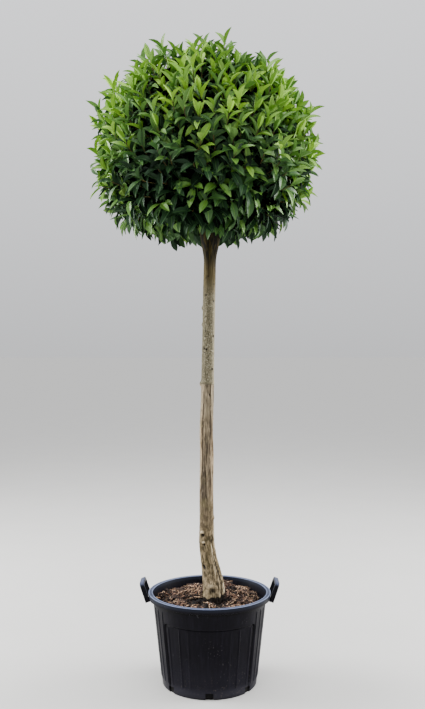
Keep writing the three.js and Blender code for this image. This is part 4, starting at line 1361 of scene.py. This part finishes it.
def growth_direction(points, level, up_above, down_below):
    """The way that new growth points: outwards, lifted above, level or hanging below."""
    outwards = unit((points - CROWN_MIDDLE) * np.array([1.0, 1.0, 0.7]))
    lift = mix(down_below, up_above, smooth_step(level, -0.95, 0.45))
    return unit(outwards + lift[..., None] * UP)


def bent_path(start, lead, end, steps):
    """A smooth path from a start to an end that it reaches along a given direction."""
    length = np.linalg.norm(end - start)
    elbow = end - lead * length * 0.5
    return curve_at(np.array([start, elbow, end]), np.linspace(0, 1, steps))


# %% Main branches
branch_angle, branch_level = spread_tips(BRANCHES)
branch_tips = mix(CROWN_MIDDLE, globe_point(branch_angle, branch_level), BRANCH_REACH)
branch_leads = growth_direction(branch_tips, branch_level, 0.5, -0.35)
branches = []
for i in range(BRANCHES):
    limb_index = int(np.argmin(np.linalg.norm(hearts - branch_tips[i], axis=1)))
    start = curve_at(limbs[limb_index]["corners"], [mix(0.55, 0.99, chance(i * 3 + 1))])[0]
    path = bent_path(start, branch_leads[i], branch_tips[i], BRANCH_STEPS)
    branches.append({"limb": limb_index, "path": path})
print("main branches:", len(branches))


# %% Shoots
def grow_shoots(kind, count, turn, share, seed):
    """Shoots from the nearest branches to tips spread over the globe, a share of the way out."""
    angle, level = spread_tips(count, turn)
    if kind == "skirt":
        level = np.full(count, SKIRT_LEVEL)
    i = np.arange(count) + seed
    reach = share + 0.09 * (chance(i * 5 + 2) - 0.5)
    if kind == "outer":
        reach += mix(0.06, 0.09, smooth_step(level, 0.0, 0.5)) * (chance(i * 7 + 3) > 0.78)
    angle = angle + 0.12 * (chance(i * 11 + 4) - 0.5)
    level = np.clip(level + 0.06 * (chance(i * 13 + 5) - 0.5), -0.97, 0.995)
    reach_down = reach + 0.07 * smooth_step(-level, 0.3, 0.8)
    tips = mix(CROWN_MIDDLE, globe_point(angle, level), columns(reach, reach, reach_down))
    tips[:, 2] += 0.030 * (chance(i * 37 + 7) - 0.4) * smooth_step(-level, 0.4, 0.8)
    leads = growth_direction(tips, level, 1.9, -0.12)
    leads = unit(leads + 0.36 * columns(*(chance(i * k + 8) - 0.5 for k in (17, 19, 23))))
    grown = []
    for n in range(count):
        branch = branches[int(np.argmin(np.linalg.norm(branch_tips - tips[n], axis=1)))]
        place = int(round(mix(3.0, 9.0, float(chance(i[n] * 29 + 6)))))
        path = bent_path(branch["path"][place], leads[n], tips[n], SHOOT_STEPS)
        grown.append({"limb": branch["limb"], "path": path, "level": float(level[n]),
                      "seed": int(i[n]), "kind": kind})
    return grown


shoots = [shoot for kind, sizes in SHOOTS.items() for shoot in grow_shoots(kind, *sizes)]
print("shoots:", len(shoots))

# %% [markdown]
# Twigs are drawn as chains of edges that carry their thickness, and Geometry Nodes turn
# each chain into a curve and sweep a small circle along it.

# %% The node tree that sweeps twigs
BRANCH_THICKNESS = (0.0050, 0.0026)
SHOOT_THICKNESS = (0.0022, 0.0012)
TWIG_SIDES = 5


def twig_tree():
    """Turns chains of edges into curves, and sweeps a circle along them."""
    tree = Tree("Twigs along edges", {"Sides": "Int", "Material": "Material"})
    add, given = tree.add, tree.given
    curves = add("GeometryNodeMeshToCurve", {0: given["Geometry"]})
    circle = add("GeometryNodeCurvePrimitiveCircle", {"Resolution": given["Sides"], "Radius": 1.0})
    swept = add("GeometryNodeCurveToMesh", {
        "Curve": curves, "Profile Curve": circle, "Scale": tree.attribute("thickness"),
        "Fill Caps": True})
    real = add("GeometryNodeRealizeInstances", {0: swept})
    return tree.close(add("GeometryNodeSetMaterial", {0: real, "Material": given["Material"]}))


def chains(name, paths, thicknesses):
    """A mesh of edges only: one chain of points for each path, with its thickness."""
    edges, first = [], 0
    for path in paths:
        edges += [(first + i, first + i + 1) for i in range(len(path) - 1)]
        first += len(path)
    made = mesh_from(name, np.concatenate(paths), edges=edges)
    add_attribute(made, "thickness", np.concatenate(thicknesses))
    return made


twig_sweep = twig_tree()
print("nodes in the tree that sweeps:", len(twig_sweep.group.nodes))

# %% Twigs by Geometry Nodes
finish = Finish("olive_brown_twig", (84, 66, 38), 0.6, specular=0.3)
young_bark = blotched(finish, (58, 42, 26), (106, 92, 46), 60.0, 3.0)
for index, limb in enumerate(limbs):
    own_branches = [branch["path"] for branch in branches if branch["limb"] == index]
    own_twigs = [shoot["path"] for shoot in shoots if shoot["limb"] == index]
    thick = [np.linspace(*BRANCH_THICKNESS, len(path)) for path in own_branches]
    thin = [np.linspace(*SHOOT_THICKNESS, len(path)) for path in own_twigs]
    piece = chains("twigs_" + limb["name"], own_branches + own_twigs, thick + thin)
    twig_sweep.run_on(piece, {"Sides": TWIG_SIDES, "Material": young_bark})
    dress(piece, "foliage_" + limb["name"])
    print(piece.name, len(own_branches), "branches", len(own_twigs), "twigs",
          triangles_of(piece), "triangles")

# %% [markdown]
# # Leaves
#
# The leaf is long, pointed and glossy, folded along its midrib and bent back a little.
# The mesh of one leaf is closed: seven stations before the tip, each with two rim points,
# a narrow midrib strip on top and one point below. The stations lie on an arc. Six leaves
# are enough, since each copy has its own size and turn: four on tighter and tighter arcs,
# and two broader and flatter ones for the shaded places low down.

# %% One leaf
LEAF_OUTLINE = (
    # share of the length, half width as a share of the length
    (0.00, 0.010), (0.09, 0.026), (0.22, 0.102), (0.38, 0.154),
    (0.56, 0.164), (0.74, 0.126), (0.89, 0.056),
)
RIB_HALF_WIDTH_SHARE = 0.013
RIB_LIFT = 0.003
LEAF_KINDS = (
    # fold, turn of the arc in radians, sway to one side, breadth: from the tip of a shoot inwards
    (0.95, 0.35, 0.03, 0.84), (0.85, 0.70, -0.03, 0.86),
    (0.70, 1.05, 0.03, 0.92), (0.75, 1.40, -0.03, 0.92),
    # and two for the shaded places low down, broader and flatter
    (0.42, 0.50, 0.04, 1.12), (0.36, 0.90, -0.04, 1.08),
)
UPPER_KINDS = 4


def leaf_shape(name, fold, arch, sway, breadth):
    """One leaf of unit length along +Y, its upper face towards +Z, bent over an arc of radians."""
    points = []
    for share, half in (*LEAF_OUTLINE, (1.0, 0.0)):
        half = half * breadth
        turn = arch * share
        middle = np.array([sway * share**2, math.sin(turn) / arch, (math.cos(turn) - 1.0) / arch])
        up = np.array([0.0, math.sin(turn), math.cos(turn)])
        rib = min(RIB_HALF_WIDTH_SHARE, 0.5 * half)
        rim_lift, thick = fold * half, 0.010 if share < 0.05 else 0.006
        section = ((-half, rim_lift), (-rib, RIB_LIFT), (rib, RIB_LIFT), (half, rim_lift), (0, -thick))
        points += [middle + up * lift + np.array([aside, 0.0, 0.0]) for aside, lift in section]
    tip = 5 * len(LEAF_OUTLINE)
    points = points[:tip] + [points[tip + 1] * 0.5 + points[tip + 2] * 0.5]
    faces = []
    for a in range(0, tip - 5, 5):
        faces += [(a + k, a + k + 1, a + k + 6, a + k + 5) for k in range(4)]
        faces.append((a + 4, a, a + 5, a + 9))
    a = tip - 5
    faces += [(a + k, a + k + 1, tip) for k in range(4)] + [(a + 4, a, tip), (4, 3, 2, 1, 0)]
    shape = mesh_from(name, points, faces)
    places = [[corner % 5 for corner in face if corner != tip] for face in faces]
    marks = {
        "underside": [float(4 in found) for found in places],
        "rib_strip": [float(set(found) <= {1, 2}) for found in places],
    }
    for label, values in marks.items():
        shape.data.attributes.new(label, "FLOAT", "FACE").data.foreach_set("value", values)
    shape.data.set_sharp_from_angle(angle=math.radians(18))
    return shape


leaf_rack = bpy.data.collections.new("leaf_rack")
for number, kind in enumerate(LEAF_KINDS):
    shape = leaf_shape(f"leaf_{number}", *kind)
    bpy.context.scene.collection.objects.unlink(shape)
    leaf_rack.objects.link(shape)
print("one leaf:", triangles_of(leaf_rack.objects[0]), "triangles")

# %% [markdown]
# Where leaves sit follows the plant's own habit: they come nearly in pairs, and each pair
# is turned from the one above it. The pair at the tip stands steeply, as a V, and the
# older pairs spread out below it in tiers and arch over. Low in the crown they droop and
# turn their broad faces outwards. The leaves of one twig make a spray, which takes its
# colour as a whole, with the youngest leaves brightest. Light and shade are painted into
# the tones as well: the crown is painted lightest at its shoulders, darkest underneath
# and inside, a little deeper at the very top and on the oldest leaves, and its two open
# sides lighter than its front.

# %% The leaves of one shoot
LEAVES_OUTSIDE = 12
LEAVES_INSIDE = 8
TIER_HEIGHT = 0.0205
PAIR_STEP = 0.0040
PAIR_TURN = math.radians(68)
LEAF_LENGTH = 0.0645
OUTSIDE_ROOM = 0.024
TONES = 7
# painted light and shade in the tones: open sides, top, oldest leaves and the inside
SIDE_LIGHT = 0.22
TOP_SHADE = 0.22
OLDEST_SHADE = 0.11
INSIDE_SHADE = 0.50


def spray_of(shoot):
    """Places, frames, sizes and order of the leaves of one shoot, from its tip inwards."""
    path, level, seed = shoot["path"], shoot["level"], shoot["seed"]
    count = LEAVES_INSIDE if shoot["kind"] == "inner" else LEAVES_OUTSIDE
    lengths = np.concatenate([[0], np.cumsum(np.linalg.norm(np.diff(path, axis=0), axis=1))])
    k = np.arange(count)
    order = k / (count - 1)
    back = TIER_HEIGHT * (k // 2) + PAIR_STEP * (k % 2)
    at = np.clip(lengths[-1] - back, 0.0, None)
    roots, before = (columns(*(np.interp(place, lengths, path[:, i]) for i in range(3)))
                     for place in (at, at - 0.01))
    axis = unit(roots - before + 1e-6 * UP)
    outwards = unit(roots - CROWN_MIDDLE)
    first = unit(np.cross(axis, unit(outwards + 0.01)))
    second = np.cross(axis, first)
    turn = seed * 1.7 + (k // 2) * PAIR_TURN + (k % 2) * math.pi
    side = np.cos(turn)[:, None] * first + np.sin(turn)[:, None] * second
    side = unit(side + 0.12 * outwards)
    luck = columns(*(chance(seed * 31 + k * 7 + j) - 0.5 for j in range(5)))
    rising = smooth_step(level, -0.6, 0.15)
    widest = mix(86.0, 66.0, rising)
    spread = np.radians(mix(mix(44.0, 22.0, rising), widest, order**0.8) + 14.0 * luck[:, 0])
    direction = axis * np.cos(spread)[:, None] + side * np.sin(spread)[:, None]
    droop = mix(-0.10 + 0.6 * luck[:, 1], 0.10 - 0.16 * order, rising)
    direction = unit(direction + droop[:, None] * UP)
    facing_up = 0.95 * axis + 0.30 * UP + 0.08 * outwards
    facing_out = 0.85 * outwards * (1.0, 1.0, 0.0) + 0.60 * UP
    hint = mix(facing_out, facing_up, rising) + 0.35 * luck[:, 1:4]
    across = unit(np.cross(direction, hint))
    face = np.cross(across, direction)
    size = LEAF_LENGTH * mix(0.72, 1.0, smooth_step(k, -3.0, 2.0)) * (1.0 + 0.22 * luck[:, 4])
    size = size * mix(1.08, 1.0, rising)
    return roots, across, direction, face, size, k


def turn_angles(across, direction, face):
    """The turns about X, Y and Z that carry a leaf's own axes to the given ones."""
    x = np.arctan2(direction[:, 2], face[:, 2])
    y = -np.arcsin(np.clip(across[:, 2], -1.0, 1.0))
    z = np.arctan2(across[:, 1], across[:, 0])
    return columns(x, y, z)


print("leaves on the first shoot:", len(spray_of(shoots[0])[0]))

# %% Where the leaves sit
low_limit, high_limit = np.array(cad_box[0]) - OUTSIDE_ROOM, np.array(cad_box[1]) + OUTSIDE_ROOM
leaf_sets = {limb["name"]: [] for limb in limbs}
for shoot in shoots:
    level, seed = shoot["level"], shoot["seed"]
    roots, across, direction, face, size, k = spray_of(shoot)
    tips = roots + direction * size[:, None]
    fits = np.all((tips > low_limit) & (tips < high_limit), axis=1)
    # painted light: darker low down, lighter up high and on the two open sides, deeper at the very top
    sunny = smooth_step(level, -0.50, 0.72)
    to_side = abs(shoot["path"][-1][0] - CROWN_MIDDLE[0]) / GLOBE_RADIUS
    to_side = smooth_step(to_side, 0.44, 0.82) * smooth_step(-level, -0.38, 0.10)
    light = mix(0.19, 0.56, sunny) + mix(0.56, 0.38, sunny) * (chance(seed * 23 + 1) - 0.5)
    light = light + (SIDE_LIGHT * to_side - TOP_SHADE * smooth_step(level, 0.35, 0.90))
    if shoot["kind"] == "inner":
        # painted shade deep inside the crown
        light = light - INSIDE_SHADE
    else:
        # the youngest leaves are brightest; the oldest get painted shade
        youth = 1.0 - smooth_step(k, 0.0, 9.0)
        light = light + (mix(0.36, 0.56, sunny) * youth - OLDEST_SHADE)
    tone = np.floor(light * (TONES - 1) + chance(seed * 41 + k * 3))
    pick = chance(seed * 43 + k * 5)
    bent = np.clip(np.floor(k * 0.35 + 1.4 * pick), 0, UPPER_KINDS - 1)
    shaded = chance(seed * 47 + k * 3) > smooth_step(level, -0.55, 0.25)
    bent = np.where(shaded, UPPER_KINDS + (pick > 0.5), bent)
    leaf_sets[limbs[shoot["limb"]]["name"]].append(np.column_stack([
        roots, turn_angles(across, direction, face), size, np.clip(tone, 0, TONES - 1), bent])[fits])
print("leaves:", sum(len(rows) for sets in leaf_sets.values() for rows in sets))

# %% [markdown]
# One tree of Geometry Nodes stands a leaf on each point, turned and sized by the point's
# attributes, and then deals out the colours by tone and by side.

# %% Leaf colours
LEAF_COLOURS = (
    # upper face of each tone, from the shaded depth of the crown to its young top; the last is
    # for midribs only, since a midrib is one tone paler than its leaf
    (6, 8, 6), (17, 30, 18), (34, 59, 34), (58, 95, 45),
    (86, 130, 47), (111, 157, 44), (137, 184, 46), (170, 206, 78),
)


def leaf_materials():
    """For each tone one material for upper faces and one for undersides, in turn."""
    materials = []
    for i, (red, green, blue) in enumerate(LEAF_COLOURS):
        gloss = 0.48 * smooth_step(i, 1.0, 4.5)
        below = (0.8 * red + 5 * i + 3, 0.8 * green + 5 * i + 4, 0.8 * blue + 5 * i + 4)
        materials.append(Finish(f"leaf_tone_{i}", (red, green, blue), 0.44, gloss).material)
        materials.append(Finish(f"leaf_tone_{i}_underside", below, 0.6, 0.05 * i).material)
    return materials


leaf_finishes = leaf_materials()
print("leaf finishes:", len(leaf_finishes))


# %% The node tree that stands leaves on points
def leaf_tree(materials):
    """Stands one of the leaves on each point and gives each face its material."""
    tree = Tree("Leaves on points", {"Leaves": "Collection"})
    add = tree.add
    rack = add("GeometryNodeCollectionInfo", {
        "Collection": tree.given["Leaves"], "Separate Children": True, "Reset Children": True})
    turn = add("FunctionNodeEulerToRotation", {0: tree.attribute("turn", "FLOAT_VECTOR")})
    placed = add("GeometryNodeInstanceOnPoints", {
        "Points": tree.given["Geometry"], "Instance": rack, "Pick Instance": True,
        "Instance Index": tree.attribute("bent", "INT"), "Rotation": turn,
        "Scale": tree.attribute("size")})
    geometry = add("GeometryNodeRealizeInstances", {0: placed})
    tone = add("ShaderNodeMath", {0: tree.attribute("tone"), 1: tree.attribute("rib_strip")})
    # a number for each pair of tone and side, in the order of the materials
    finish = add("ShaderNodeMath", {0: tone, 1: 2.0, 2: tree.attribute("underside")},
                 {"operation": "MULTIPLY_ADD"})
    for number, material in enumerate(materials):
        chosen = add("FunctionNodeCompare", {0: finish, 1: float(number), "Epsilon": 0.1},
                     {"operation": "EQUAL"})
        geometry = add("GeometryNodeSetMaterial", {
            0: geometry, "Selection": chosen, "Material": material})
    return tree.close(geometry)


leaf_placing = leaf_tree(leaf_finishes)
print("nodes in the tree of leaves:", len(leaf_placing.group.nodes))

# %% Leaves by Geometry Nodes
total = 0
for limb in limbs:
    rows = np.concatenate(leaf_sets[limb["name"]])
    piece = mesh_from("leaves_" + limb["name"], rows[:, :3])
    add_attribute(piece, "turn", rows[:, 3:6], "FLOAT_VECTOR")
    add_attribute(piece, "size", rows[:, 6])
    add_attribute(piece, "tone", rows[:, 7])
    add_attribute(piece, "bent", rows[:, 8].astype(int), "INT")
    leaf_placing.run_on(piece, {"Leaves": leaf_rack})
    dress(piece, "foliage_" + limb["name"])
    total += triangles_of(piece)
    print(piece.name, len(rows), "leaves", triangles_of(piece), "triangles",
          len(piece.data.materials), "materials")
print("all leaves:", total, "triangles")
for shape in list(leaf_rack.objects):
    bpy.data.objects.remove(shape)

# %% [markdown]
# Sizes
#
# The dressed plant may stand a little proud of the solids in the frame, as soft leaves
# do. The box of the solids is printed.

# %% The box of the solids
print("solids", [[round(v, 3) for v in corner] for corner in cad_box])
